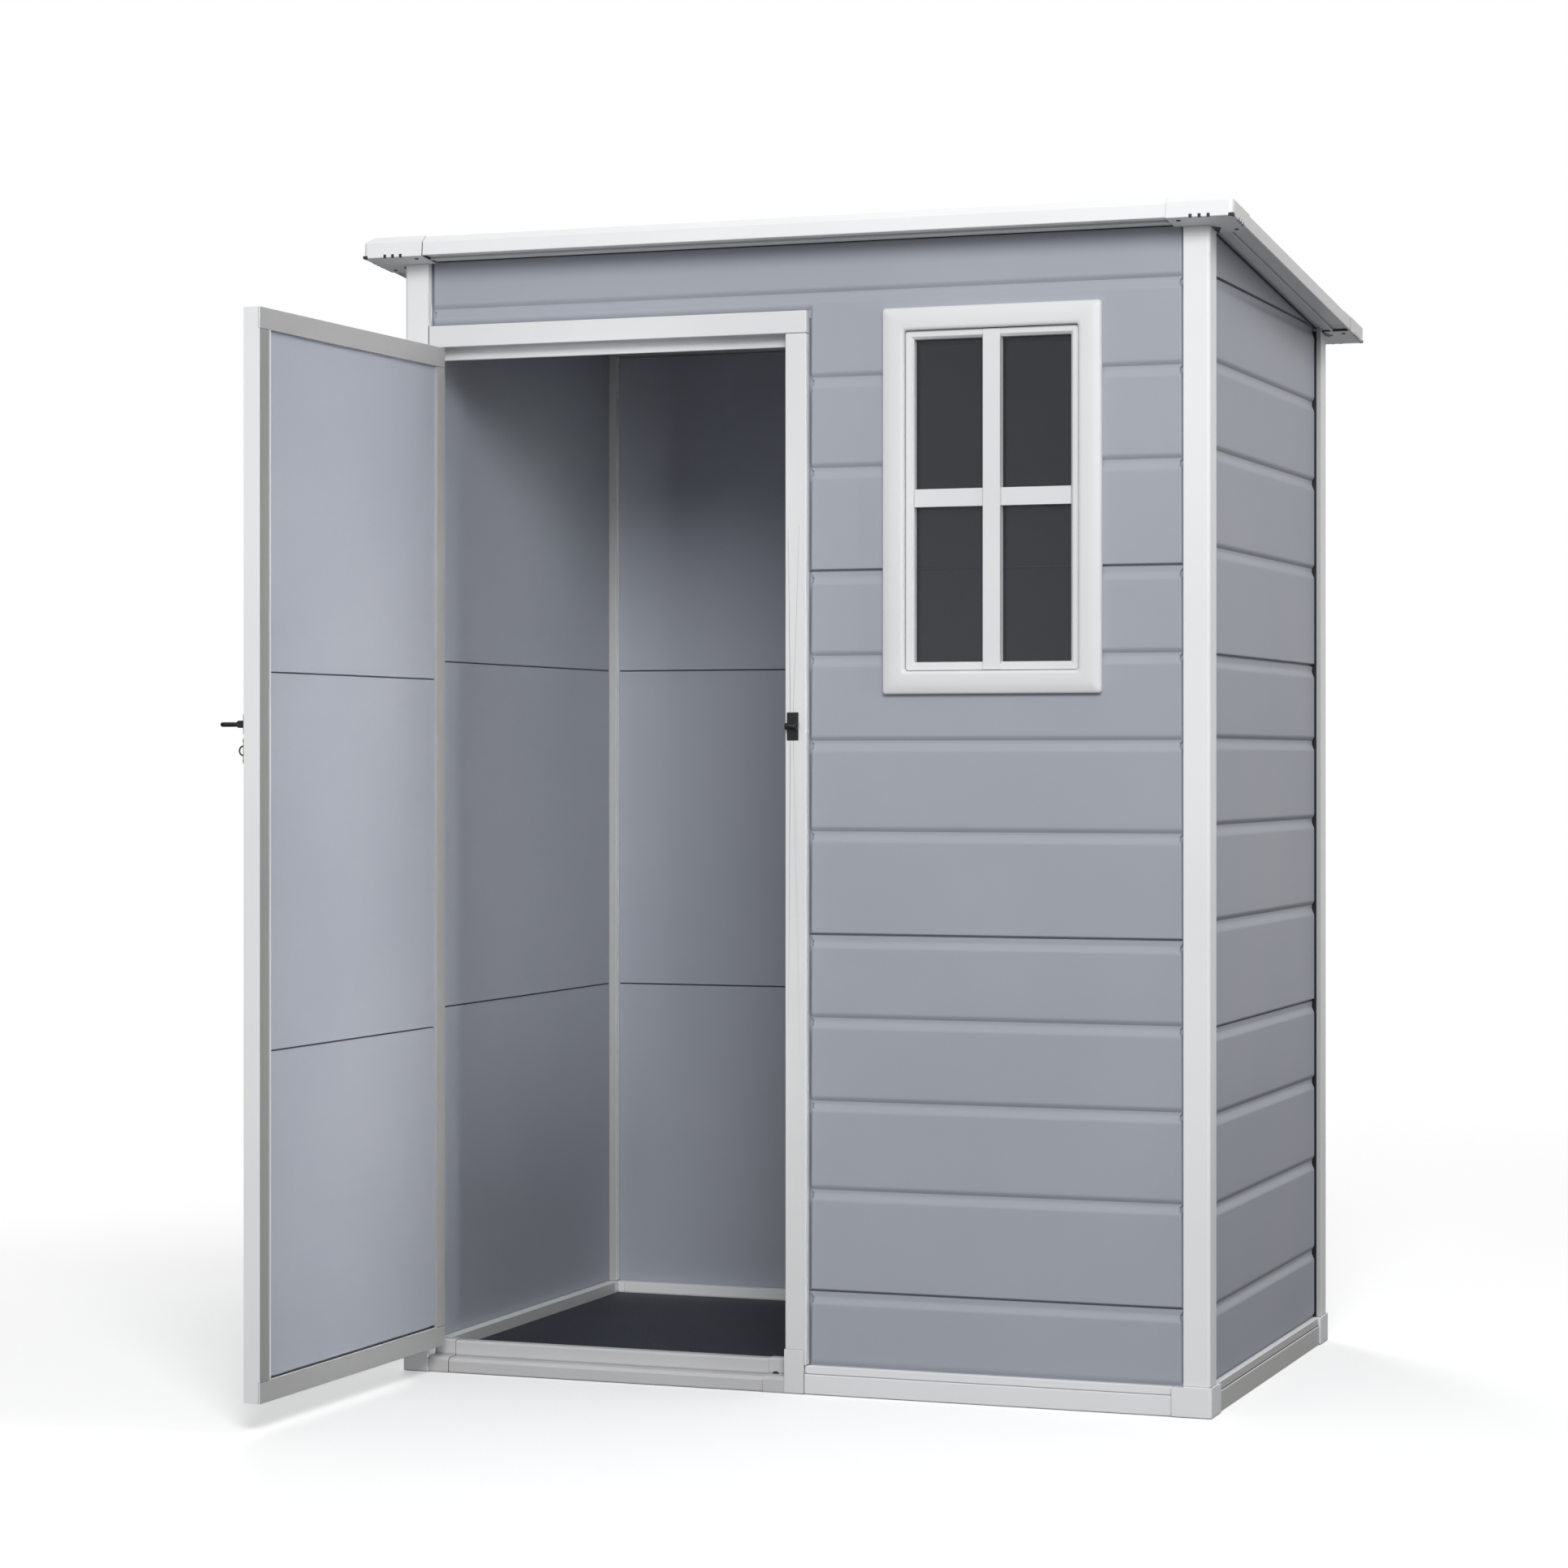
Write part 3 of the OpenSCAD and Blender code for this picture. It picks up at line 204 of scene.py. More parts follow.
def trim_resin_with_painted_shade(name, axis, white_to, grey_from, grey):
    """The trims' resin with painted shade: grey on faces that turn one way.

    axis is X or Y of the normal at rest. Faces are white up to white_to, and grey from grey_from.
    """
    material = trim_resin()
    material.name = name
    tree = material.node_tree
    normal = tree.nodes.new("ShaderNodeSeparateXYZ")
    coord = next(node for node in tree.nodes if node.bl_idname == "ShaderNodeTexCoord")
    tree.links.new(coord.outputs["Normal"], normal.inputs[0])
    side = tree.nodes.new("ShaderNodeMapRange")
    tree.links.new(normal.outputs[axis], side.inputs["Value"])
    side.inputs["From Min"].default_value = white_to
    side.inputs["From Max"].default_value = grey_from
    colour = tree.nodes["Principled BSDF"].inputs["Base Color"]
    white = colour.links[0].from_socket
    # painted shade: grey mixed in on the faces that turn along axis
    mix = tree.nodes.new("ShaderNodeMix")
    mix.data_type = "RGBA"
    tree.links.new(side.outputs["Result"], mix.inputs["Factor"])
    tree.links.new(white, mix.inputs[6])
    mix.inputs[7].default_value = (*srgb(grey, grey, grey - 1), 1)
    tree.links.new(mix.outputs[2], colour)
    return material


def roof_resin():
    """White roof panels, a little greyer and rougher than the trims."""
    return moulded("roof_resin", srgb(226, 227, 229), srgb(232, 233, 234), 0.48, 900, 0.0001)


def floor_resin():
    """Dark floor, clouded between two blue-greys, with a coarse grain."""
    n = Nodes("floor_resin")
    cloud = n.spread(n.noise(5, 4), 0, 1)
    n.link(n.mix(cloud, srgb(36, 39, 50), srgb(44, 47, 59)), n.shader.inputs["Base Color"])
    fine = n.noise(420, 3, 0.6)
    n.link(n.spread(fine, 0.5, 0.72), n.shader.inputs["Roughness"])
    n.bump(fine, 0.6, 0.0004)
    return n.material


def black_steel():
    """Coated steel of the bolt, hinges and screws, finely speckled between two near blacks."""
    n = Nodes("black_steel")
    fine = n.noise(1400, 2)
    n.link(n.mix(n.spread(fine, 0, 1), srgb(24, 24, 27), srgb(38, 38, 42)), n.shader.inputs["Base Color"])
    n.link(n.spread(fine, 0.32, 0.46), n.shader.inputs["Roughness"])
    n.bump(fine, 0.3, 0.00004)
    n.shader.inputs["Metallic"].default_value = 0.35
    return n.material


def galvanised_steel():
    """Zinc of the roof beam: spangles from the distance to scattered points, paler towards their edges."""
    n = Nodes("galvanised_steel")
    spangle = n.add("ShaderNodeTexVoronoi")
    spangle.inputs["Scale"].default_value = 70
    n.link(n.coord.outputs["Object"], spangle.inputs["Vector"])
    n.link(n.mix(n.spread(spangle.outputs["Distance"], 0, 1, 0.1, 0.9), srgb(150, 153, 157),
                 srgb(186, 189, 192)), n.shader.inputs["Base Color"])
    n.link(n.spread(n.noise(300), 0.35, 0.5), n.shader.inputs["Roughness"])
    n.shader.inputs["Metallic"].default_value = 0.8
    return n.material


def clear_pane():
    """The window's pane: half clear, dark, and slightly wavy."""
    n = Nodes("clear_pane")
    n.shader.inputs["Base Color"].default_value = (*srgb(44, 48, 52), 1)
    n.shader.inputs["Alpha"].default_value = 0.5
    n.shader.inputs["IOR"].default_value = 1.49
    n.link(n.spread(n.noise(6, 2), 0.03, 0.08), n.shader.inputs["Roughness"])
    n.bump(n.noise(4, 1), 0.15, 0.002)
    return n.material


PANEL, TRIM, ROOF, FLOOR = panel_resin(), trim_resin(), roof_resin(), floor_resin()
STEEL, ZINC, PANE = black_steel(), galvanised_steel(), clear_pane()
# Copies of the trims' resin with painted shade on the faces that turn one way
DOOR_TRIM = trim_resin_with_painted_shade("door_trim_resin", "X", 0.5, 0.9, 168)
LOCK_TRIM = trim_resin_with_painted_shade("lock_trim_resin", "X", 0.5, 0.9, 144)
HINGE_TRIM = trim_resin_with_painted_shade("hinge_trim_resin", "X", -0.9, -0.5, 168)
REAR_TRIM = trim_resin_with_painted_shade("rear_trim_resin", "Y", -0.5, -0.9, 186)
RAIL_TRIM = trim_resin_with_painted_shade("rail_trim_resin", "X", 0.5, 0.9, 200)
EAVE_TRIM = trim_resin_with_painted_shade("eave_trim_resin", "X", 0.5, 0.9, 218)
FRAME_TRIM, SILL_TRIM = frame_resin(), sill_resin()
FINISH = {"panel": PANEL, "trim": TRIM, "roof": ROOF, "floor": FLOOR, "hardware": STEEL, "beam": ZINC,
          "glazing": PANE}


def piece(name, points, quads, body, slot, stands_for=()):
    """Makes a mesh from point and quad arrays, rides it on its body and gives it its finish.

    stands_for names the CAD nodes that it replaces.
    """
    mesh = bpy.data.meshes.new(name)
    mesh.from_pydata(points.tolist(), [], quads.tolist())
    mesh.update()
    mesh.shade_smooth()
    mesh.set_sharp_from_angle(angle=math.radians(40))
    obj = bpy.data.objects.new(name, mesh)
    bpy.context.scene.collection.objects.link(obj)
    mesh.materials.append(FINISH[slot])
    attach(obj, body)
    if stands_for:
        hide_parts(*stands_for)
    return obj


def sine_rise(t):
    """A quarter wave: steep at the foot, level at the top."""
    return np.sin(np.clip(t, 0, 1) * math.pi / 2)


def soft_rise(t):
    """3t^2 - 2t^3, level at both ends."""
    t = np.clip(t, 0, 1)
    return t * t * (3 - 2 * t)


def board_rise(u, z, board):
    """How far a board is raised at (u, z), from 0 in the groove to 1 on its face.

    board is (left, right, low, high, low_width, high_width). The distances into the board from its
    ends and from its lower or upper edge are divided by the widths of those edges, and one minus the
    length of what is left of both runs up a sine at the lower edge and a soft step at the upper one.
    """
    left, right, low, high, low_width, high_width = board
    across = np.clip(np.minimum(u - left, right - u) / ROUND_END, -1, 1)
    up = np.clip(np.minimum((z - low) / low_width, (high - z) / high_width), -1, 1)
    t = 1 - np.hypot(1 - across, 1 - up)
    middle = soft_rise((z - low) / (high - low) * 2 - 0.5)
    return (1 - middle) * sine_rise(t) + middle * soft_rise(t)


def grid_lines(low, high, places, offsets, coarse):
    """Sorted grid lines: even ones at most coarse apart, and close ones at offsets from each place."""
    even = np.linspace(low, high, max(2, int((high - low) / coarse) + 1))
    near = (np.array(places)[:, None] + np.array(offsets)[None, :]).ravel()
    near = near[(near > low) & (near < high)]
    keep = np.abs(even[:, None] - near[None, :]).min(axis=1) > coarse * 0.3 if near.size else even > low
    keep[0] = keep[-1] = True
    lines = np.unique(np.round(np.concatenate([even[keep], near]), 5))
    return lines[np.concatenate([[True], np.diff(lines) > 0.0002])]


# Distances of the close grid lines from a panel's end and from an edge of a board
END_OFFSETS = np.array([0, 11.9, 12.2, 14.2, 14.4, 14.7, 15.1, 15.6, 16.2, 17, 18, 20, 23]) * MM
EDGE_OFFSETS = np.array([-26, -23, -20, -18, -16, -14, -12, -10.5, -9.4, -9, -7, -5, -3.6, -2.6, -2, -1, 0,
                         0.4, 0.9, 1.6, 2.6, 3.6, 5, 6.5, 8, 10]) * MM
# Greatest spaces between grid lines along u and z, and the least that two lines keep
COARSE_U, COARSE_Z, FINEST = 0.08, 0.03, 0.15 * MM
# Shadow gap under a seam and at a panel's ends: its height, its depth, and how wide its side slopes
SEAM_GAP, GAP_DEPTH, GAP_SLOPE = 2.1 * MM, 4 * MM, 0.6 * MM
# Inner side: half the width of a seam's groove, its depth, and how far the foot of the door is set back
SEAM_HALF, SEAM_DEPTH, SLIT_DEPTH = 0.95 * MM, 5 * MM, 9 * MM


def panel_lines(span, rise, marks, hole, notch):
    """Grid lines of a panel along u and z: close at its ends and at marks, and on the edges of cuts."""
    (left, right), (low, high) = span, rise
    us = [grid_lines(left, right, [left], END_OFFSETS, COARSE_U),
          grid_lines(left, right, [right], -END_OFFSETS, COARSE_U)]
    zs = [grid_lines(low, high, sorted(set(marks)), EDGE_OFFSETS, COARSE_Z)]
    for cut in (hole, notch):
        if cut:
            us.append([c for c in cut[:2] if left < c < right])
            zs.append([c for c in cut[2:] if low < c < high])
    if notch:
        us.append(np.clip(notch[1] + END_OFFSETS, left, right))
    us, zs = np.unique(np.concatenate(us)), np.unique(np.concatenate(zs))
    return tuple(lines[np.concatenate([[True], np.diff(lines) > FINEST])] for lines in (us, zs))


def panel_depths(u, z, span, high, boards, seam_over, notch):
    """How deep a panel's outer side lies at (u, z).

    It is GROOVE times one minus the greatest rise of any board there. A seam over the panel adds a
    narrow shadow gap at its top. A deeper gap runs along both ends and beside the notch, and widens in
    a bell curve at the upper corners of every board.
    """
    left, right = span
    raised = np.max([board_rise(u, z, b) for b in boards], axis=0)
    depth = GROOVE * (1 - raised)
    if seam_over:
        depth = np.where(z > high - SEAM_GAP, depth + GAP_DEPTH, depth)
    from_end = np.minimum(u - left, right - u)
    if notch:
        beside = np.minimum(np.abs(u - notch[1]), right - u)
        from_end = np.where((u > left) & (z < notch[3]), beside, from_end)
    tops = np.array([b[3] - NOTCH_DOWN for b in boards])
    near_top = np.exp(-((z[..., None] - tops) / NOTCH_HALF) ** 2).max(-1)
    gap = END_GAP + NOTCH_IN * near_top
    inside = np.clip((gap - (from_end - TONGUE)) / GAP_SLOPE, 0, 1)
    return depth + GAP_DEPTH * inside * (from_end > TONGUE - 0.1 * MM)


def board_panel(node, place, body, span, rise, boards, seam_over=True, hole=None, notch=None, roof=None,
                slit=None):
    """A wall panel as a closed slab whose outer side is a field of depths over (u, z).

    hole and notch are (left, right, low, high) cut right through, on grid lines. roof(u) gives the
    height that the panel is cut down to. The inner side has a fine groove at every seam, and is set
    far back below the height slit.
    """
    low, high = rise
    marks = [b[2] for b in boards] + [b[3] for b in boards] + [high] + ([slit] if slit else [])
    us, zs = panel_lines(span, rise, marks, hole, notch)
    u, z = np.meshgrid(us, zs, indexing="ij")
    depth = panel_depths(u, z, span, high, boards, seam_over, notch)
    back = np.where((z > high - SEAM_HALF) | (z < low + SEAM_HALF), PANEL_T - SEAM_DEPTH, PANEL_T)
    if slit:
        back = np.where(z < slit, PANEL_T - SLIT_DEPTH, back)
    if roof:
        z = np.minimum(z, roof(u))
    cells = np.ones((len(us) - 1, len(zs) - 1), bool)
    mid_u, mid_z = (us[1:] + us[:-1]) / 2, (zs[1:] + zs[:-1]) / 2
    for cut in (hole, notch):
        if cut:
            across, up = (mid_u > cut[0]) & (mid_u < cut[1]), (mid_z > cut[2]) & (mid_z < cut[3])
            cells &= ~(across[:, None] & up[None, :])
    if roof:
        cells &= (z[1:, 1:] - z[1:, :-1] > 1e-6) | (z[:-1, 1:] - z[:-1, :-1] > 1e-6)
    return slab(node, place, body, u, z, depth, back, cells)


def slab(node, place, body, u, z, depth, back, cells):
    """Closes the kept cells of an outer and an inner sheet with walls along every open edge."""
    count = u.size
    number = np.arange(count).reshape(u.shape)
    a, b, c, d = number[:-1, :-1], number[1:, :-1], number[1:, 1:], number[:-1, 1:]
    outer = np.stack([a, b, c, d], -1)[cells]
    inner = np.stack([a, d, c, b], -1)[cells] + count
    padded = np.pad(cells, 1)
    walls = []
    for axis, (p, q) in ((0, (number[:, :-1], number[:, 1:])), (1, (number[:-1, :], number[1:, :]))):
        if axis == 0:
            before, after = padded[:-1, 1:-1], padded[1:, 1:-1]
        else:
            before, after = padded[1:-1, :-1], padded[1:-1, 1:]
            p, q = q, p
        for here, start, end in ((before & ~after, p, q), (after & ~before, q, p)):
            walls.append(np.stack([start[here], start[here] + count, end[here] + count, end[here]], -1))
    points = np.concatenate([place(u.ravel(), z.ravel(), depth.ravel()),
                             place(u.ravel(), z.ravel(), back.ravel())])
    quads = np.concatenate([outer, inner, *walls])
    used = np.unique(quads)
    renumber = np.zeros(len(points), int)
    renumber[used] = np.arange(len(used))
    return piece(node + "_boards", points[used], renumber[quads], body, "panel", [node])


# Window: its middle on the front wall, half its size, the hole for it as (left, right, low, high), and
# its frame's corner radius and section as (inset, how far proud)
WINDOW = (0.328, 1.41)
WINDOW_HALF = (0.1775, 0.303)
WINDOW_HOLE = (WINDOW[0] - 0.1635, WINDOW[0] + 0.1635, 1.121, 1.699)
FRAME_ROUND = 4.5 * MM
FRAME_SECTION = np.array([(0, 0), (0, 8), (0.9, 9.6), (3, 11), (16, 12.1), (30, 13), (33, 12.4), (35.2, 11),
                          (36, 9.4), (36, -2), (33, -3), (18, -3), (18, -16), (15, -16), (15, 0)]) * MM


def window_frame():
    """The window's outer frame: its section carried round rectangles with rounded corners.

    At an inset s the path is a rectangle s smaller on every side, with the same corner radius.
    """
    arc = np.linspace(0, math.pi / 2, 6)
    rings = []
    for inset, proud in FRAME_SECTION:
        x, z = WINDOW_HALF[0] - inset - FRAME_ROUND, WINDOW_HALF[1] - inset - FRAME_ROUND
        corners = ((1, 1), (-1, 1), (-1, -1), (1, -1))
        turns = [(sx, sz, arc + i * math.pi / 2) for i, (sx, sz) in enumerate(corners)]
        xs = np.concatenate([sx * x + FRAME_ROUND * np.cos(t) for sx, sz, t in turns]) + WINDOW[0]
        zs = np.concatenate([sz * z + FRAME_ROUND * np.sin(t) for sx, sz, t in turns]) + WINDOW[1]
        rings.append(np.stack([xs, np.full(len(xs), -WALL_Y - proud), zs], -1))
    rows, columns = len(rings), len(rings[0])
    number = np.arange(rows * columns).reshape(rows, columns)
    next_row, next_column = np.roll(number, -1, 0), np.roll(number, -1, 1)
    quads = np.stack([number, next_column, np.roll(next_row, -1, 1), next_row], -1).reshape(-1, 4)
    frame_piece = piece("window_surround", np.concatenate(rings), quads, "shed", "trim", ["window_frame"])
    frame_piece.data.materials[0] = FRAME_TRIM


def on_front(u, z, depth):
    """Wall frame of the front: u runs to the right seen from outside, and depth inwards."""
    return np.stack([u, depth - WALL_Y, z], -1)


def on_rear(u, z, depth):
    """The same for the rear wall, where u runs against X."""
    return np.stack([-u, WALL_Y - depth, z], -1)


def on_right(u, z, depth):
    """The same for the right wall, where u runs along Y."""
    return np.stack([WALL_X - depth, u, z], -1)


def on_left(u, z, depth):
    """The same for the left wall, where u runs against Y."""
    return np.stack([depth - WALL_X, -u, z], -1)


def on_door(u, z, depth):
    """The same for the door's panels: placed as on the shut door, then turned about the hinge's axis."""
    x, y = u - HINGE_X, depth - WALL_Y - DOOR_FORWARD - HINGE_Y
    c, s = math.cos(DOOR_OPEN), math.sin(DOOR_OPEN)
    return np.stack([HINGE_X + c * x + s * y, HINGE_Y - s * x + c * y, z], -1)


# Widths of a board's lower and upper edges: at grooves, and at the seams between panels
SOFT_LOW, SOFT_HIGH = 9 * MM, 16 * MM
CRISP_LOW, SEAM_HIGH = 2.2 * MM, 14 * MM
# How far under a groove's line the next board begins and the board below ends, and how far under a seam or
# a panel's open top the last board ends
BEGIN_UNDER, END_UNDER = 1 * MM, 4 * MM
SEAM_UNDER, OPEN_UNDER = 10 * MM, 3 * MM


def stack(span, low, high, virtual, steps, foot=0.0, seam_under=True, seam_over=True):
    """The boards of one panel between two heights: (left, right, low, high, low_width, high_width).

    The grooves lie at fixed parts of the panel's virtual height, measured down from high.
    """
    left, right = span[0] + TONGUE + END_GAP, span[1] - TONGUE - END_GAP
    cuts = [high - virtual * s for s in reversed(steps) if high - virtual * s > low + 0.02]
    edges = [low + foot, *cuts, high]
    boards = []
    for i, (zb, zt) in enumerate(zip(edges[:-1], edges[1:])):
        first, last = i == 0, i == len(edges) - 2
        boards.append((left, right,
                       zb if first else zb - BEGIN_UNDER,
                       zt - (SEAM_UNDER if seam_over else OPEN_UNDER) if last else zt - END_UNDER,
                       CRISP_LOW if first and seam_under else SOFT_LOW,
                       SEAM_HIGH if last else SOFT_HIGH))
    return boards


# Ends of the panels along each wall and along the shut door
FRONT = (0.0123, 0.6467)
SIDE = (-0.3907, 0.3907)
REAR = (-0.6467, 0.6467)
DOOR = (-0.6162, -0.0329)


def wall_panels():
    """The boards of the front, side and rear walls."""
    f1, f2, f3 = FRONT_SEAMS
    board_panel("front_starter_panel", on_front, "shed", FRONT, (SLOT_FLOOR, f1),
                stack(FRONT, SLOT_FLOOR, f1, f1, (), BOARD_FOOT, False))
    board_panel("front_lower_panel", on_front, "shed", FRONT, (f1, f2),
                stack(FRONT, f1, f2, f2 - f1, FRONT_STEPS))
    board_panel("front_middle_panel", on_front, "shed", FRONT, (f2, f3),
                stack(FRONT, f2, f3, f3 - f2, FRONT_STEPS), hole=WINDOW_HOLE)
    top = f3 + FRONT_WHOLE
    boards = stack(FRONT, f3, top, FRONT_WHOLE, FRONT_STEPS, seam_over=False)
    groove = top - FRONT_WHOLE * FRONT_STEPS[0]
    left = -FRONT[1] + TONGUE + END_GAP
    boards[-1] = (left, *boards[-1][1:])
    right = FRONT[1] - TONGUE - END_GAP
    boards.append((left, right, LINTEL_LOW, groove - END_UNDER, SOFT_LOW, SOFT_HIGH))
    board_panel("front_upper_panel", on_front, "shed", (-FRONT[1], FRONT[1]), (f3, WALL_TOP - 0.0002), boards,
                False, WINDOW_HOLE, (-FRONT[1] - 0.1, FRONT[0], f3 - 0.1, HEADER_TOP))
    s1, s2, s3 = SIDE_SEAMS
    for side, place, span in (("left", on_left, SIDE), ("right", on_right, SIDE), ("rear", on_rear, REAR)):
        board_panel(side + "_lower_panel", place, "shed", span, (SLOT_FLOOR, s1),
                    stack(span, SLOT_FLOOR, s1, SIDE_WHOLE, SIDE_STEPS, BOARD_FOOT, False))
        board_panel(side + "_middle_panel", place, "shed", span, (s1, s2),
                    stack(span, s1, s2, s2 - s1, SIDE_STEPS))
        top = WALL_TOP - 2 * WALL_Y * ROOF_SLOPE if side == "rear" else s3
        roof = None
        if side != "rear":
            forward = 1 if side == "right" else -1
            roof = lambda u, forward=forward: WALL_TOP - (WALL_Y + forward * u) * ROOF_SLOPE
        board_panel(side + "_upper_panel", place, "shed", span, (s2, top),
                    stack(span, s2, s3, s3 - s2, SIDE_STEPS, seam_over=side != "rear"), side != "rear",
                    roof=roof)


def door_panels():
    """The boards of the door, whose panels stand 6 mm back from its frame.

    Both ends of the stack lie in the rails' slots. An inner slit shows over the lower rail.
    """
    d1, d2 = DOOR_SEAMS
    low, high, in_rail, slit = 0.068, 1.6557, 11.5 * MM, 0.0815
    board_panel("door_lower_panel", on_door, "door", DOOR, (low, d1),
                stack(DOOR, low, d1, DOOR_WHOLE, FRONT_STEPS, in_rail, False), slit=slit)
    board_panel("door_middle_panel", on_door, "door", DOOR, (d1, d2),
                stack(DOOR, d1, d2, d2 - d1, FRONT_STEPS))
    boards = stack(DOOR, d2, d2 + DOOR_WHOLE, DOOR_WHOLE, FRONT_STEPS, seam_over=False)
    boards[-1] = (*boards[-1][:3], high - in_rail, SOFT_LOW, SOFT_HIGH)
    board_panel("door_upper_panel", on_door, "door", DOOR, (d2, high), boards, False)


# Outer edges of the roof's trims in the roof's own frame
RING_X = 0.726
RING_Y = (-0.064 / math.cos(PITCH), 0.905 / math.cos(PITCH))
# Roof caps: length and width of a leg, height of the lower face, and the slots' distances from the corner
CAP_LEG, CAP_WIDE = 104 * MM, 55 * MM
CAP_LOW = -6.2 * MM
CAP_SLOTS = (38 * MM, 52 * MM, 66 * MM)
BRICK_QUADS = np.array([(0, 1, 3, 2), (4, 6, 7, 5), (0, 4, 5, 1), (2, 3, 7, 6), (0, 2, 6, 4), (1, 5, 7, 3)])


def on_roof(points):
    """Points of the roof's frame, turned by the pitch about the front wall's top.

    Its Y runs to the rear down the slope, and its Z stands square on the roof.
    """
    x, y, z = np.asarray(points, float).T
    c, s = math.cos(PITCH), math.sin(PITCH)
    return np.stack([x, y * c + z * s - WALL_Y, z * c - y * s + WALL_TOP], -1)


def cap_frames():
    """For each roof cap, the function from (along X, along Y, up) at its outer corner to the roof's frame."""
    return [lambda a, d, h, sx=sx, sy=sy, y=y: (sx * (RING_X - a), y + sy * d, h)
            for sx in (-1, 1) for sy, y in ((1, RING_Y[0]), (-1, RING_Y[1]))]


def straight(x, y, z):
    """The place of a point that is given in the shed's own frame."""
    return x, y, z


def single(place):
    """A wall's frame, for one point at a time."""
    return lambda u, z, depth: place(np.array([u]), np.array([z]), np.array([depth]))[0]


def exchanged(place):
    """A cap's frame with its two legs exchanged."""
    return lambda a, d, h: place(d, a, h)


def brick(place, a, d, h):
    """Corners of a small block between pairs of distances."""
    return [place(i, j, k) for i in a for j in d for k in h]


def outline_prism(place, outline, low, high):
    """Corners of a prism over an outline of (a, d) points."""
    return [place(a, d, h) for h in (low, high) for a, d in outline]


def prism_quads(count):
    """Faces of a prism over count points: its walls, and lids from the points that pair up across it."""
    walls = [(i, (i + 1) % count, (i + 1) % count + count, i + count) for i in range(count)]
    lids = [(i, count - 1 - i, count - 2 - i, i + 1) for i in range(count // 2 - 1)]
    return np.array(walls + lids + [tuple(count + j for j in lid[::-1]) for lid in lids])


def repeated(name, groups, quads, body, slot):
    """One piece of many like shapes, with every shape's faces turned outwards."""
    points, faces = [], []
    for i, group in enumerate(groups):
        group = np.asarray(group, float)
        a, b, c, d = (group[quads[:, k]] for k in range(4))
        volume = np.einsum("ij,ij->", np.cross(a, b), c) + np.einsum("ij,ij->", np.cross(a, c), d)
        points.append(group)
        faces.append((quads if volume > 0 else quads[:, ::-1]) + i * len(group))
    return piece(name, np.concatenate(points), np.concatenate(faces), body, slot)


def cap_outline():
    """Lower face of a roof cap: two legs, with a quarter circle of radius turn between them inside."""
    edge, turn, corner = 2.4 * MM, 12 * MM, 3 * MM
    along = [CAP_LEG, CAP_WIDE + turn, CAP_WIDE, 30 * MM, edge + corner]
    outer = [(a, edge) for a in along] + [(edge, a) for a in along[::-1]]
    bend = [(CAP_WIDE + turn * (1 - math.cos(t)), CAP_WIDE + turn * (1 - math.sin(t)))
            for t in np.linspace(0, math.pi / 2, 8)]
    return outer + [(CAP_WIDE, CAP_LEG), *bend, (CAP_LEG, CAP_WIDE)]


def roof_cap_details():
    """Plates under the caps, screws in them, black blocks as painted shade in the slots at their edges, and
    black strips as painted shade in the gaps towards the trims.

    A black wedge beside the post is painted shade where each cap is hollow. The cap at the front right meets
    the front fascia without a gap.
    """
    plates, dark, screws, gaps, hollows = [], [], [], [], []
    outline = cap_outline()
    wedge = [(48 * MM, 110 * MM), (36 * MM, 74 * MM), (37 * MM, 72 * MM), (48 * MM, 62 * MM)]
    ring = np.linspace(0, 2 * math.pi, 12, endpoint=False)
    screw_along, screw_in, radius = 88 * MM, 15 * MM, 3.2 * MM
    head = [(screw_along + radius * math.cos(t), screw_in + radius * math.sin(t)) for t in ring]
    slot_half, gap_start = 2.4 * MM, CAP_LEG - 0.5 * MM
    # black slot blocks, gap strips and wedges below are painted shade
    for number, place in enumerate(cap_frames()):
        plates.append(on_roof(outline_prism(place, outline, CAP_LOW - 0.3 * MM, CAP_LOW + 3.2 * MM)))
        dark.append(on_roof(brick(place, (-1.25 * MM, 7 * MM), (-1.25 * MM, 8 * MM), (-6.3 * MM, -2 * MM))))
        hollows.append(on_roof(outline_prism(place, wedge, CAP_LOW - 0.7 * MM, CAP_LOW)))
        for leg in (place, exchanged(place)):
            for d in CAP_SLOTS:
                dark.append(on_roof(brick(leg, (d - slot_half, d + slot_half), (-1 * MM, 2.4 * MM),
                                          (-6.4 * MM, -1.1 * MM))))
            screws.append(on_roof(outline_prism(leg, head, CAP_LOW - 1.4 * MM, CAP_LOW)))
            gaps.append(on_roof(brick(leg, (gap_start, CAP_LEG + 1.3 * MM), (1 * MM, CAP_WIDE),
                                      (CAP_LOW + 0.9 * MM, CAP_LOW + 4 * MM))))
            if number != 2 or leg is not place:
                gaps.append(on_roof(brick(leg, (gap_start, CAP_LEG + 1.2 * MM), (-0.25 * MM, 2 * MM),
                                          (CAP_LOW + 1 * MM, 16.8 * MM))))
    repeated("cap_plates", plates, prism_quads(len(outline)), "shed", "trim")
    repeated("cap_slots", dark, BRICK_QUADS, "shed", "hardware")
    repeated("cap_screws", screws, prism_quads(len(ring)), "shed", "hardware")
    repeated("cap_gaps", gaps, BRICK_QUADS, "shed", "hardware")
    repeated("cap_hollows", hollows, prism_quads(len(wedge)), "shed", "hardware")


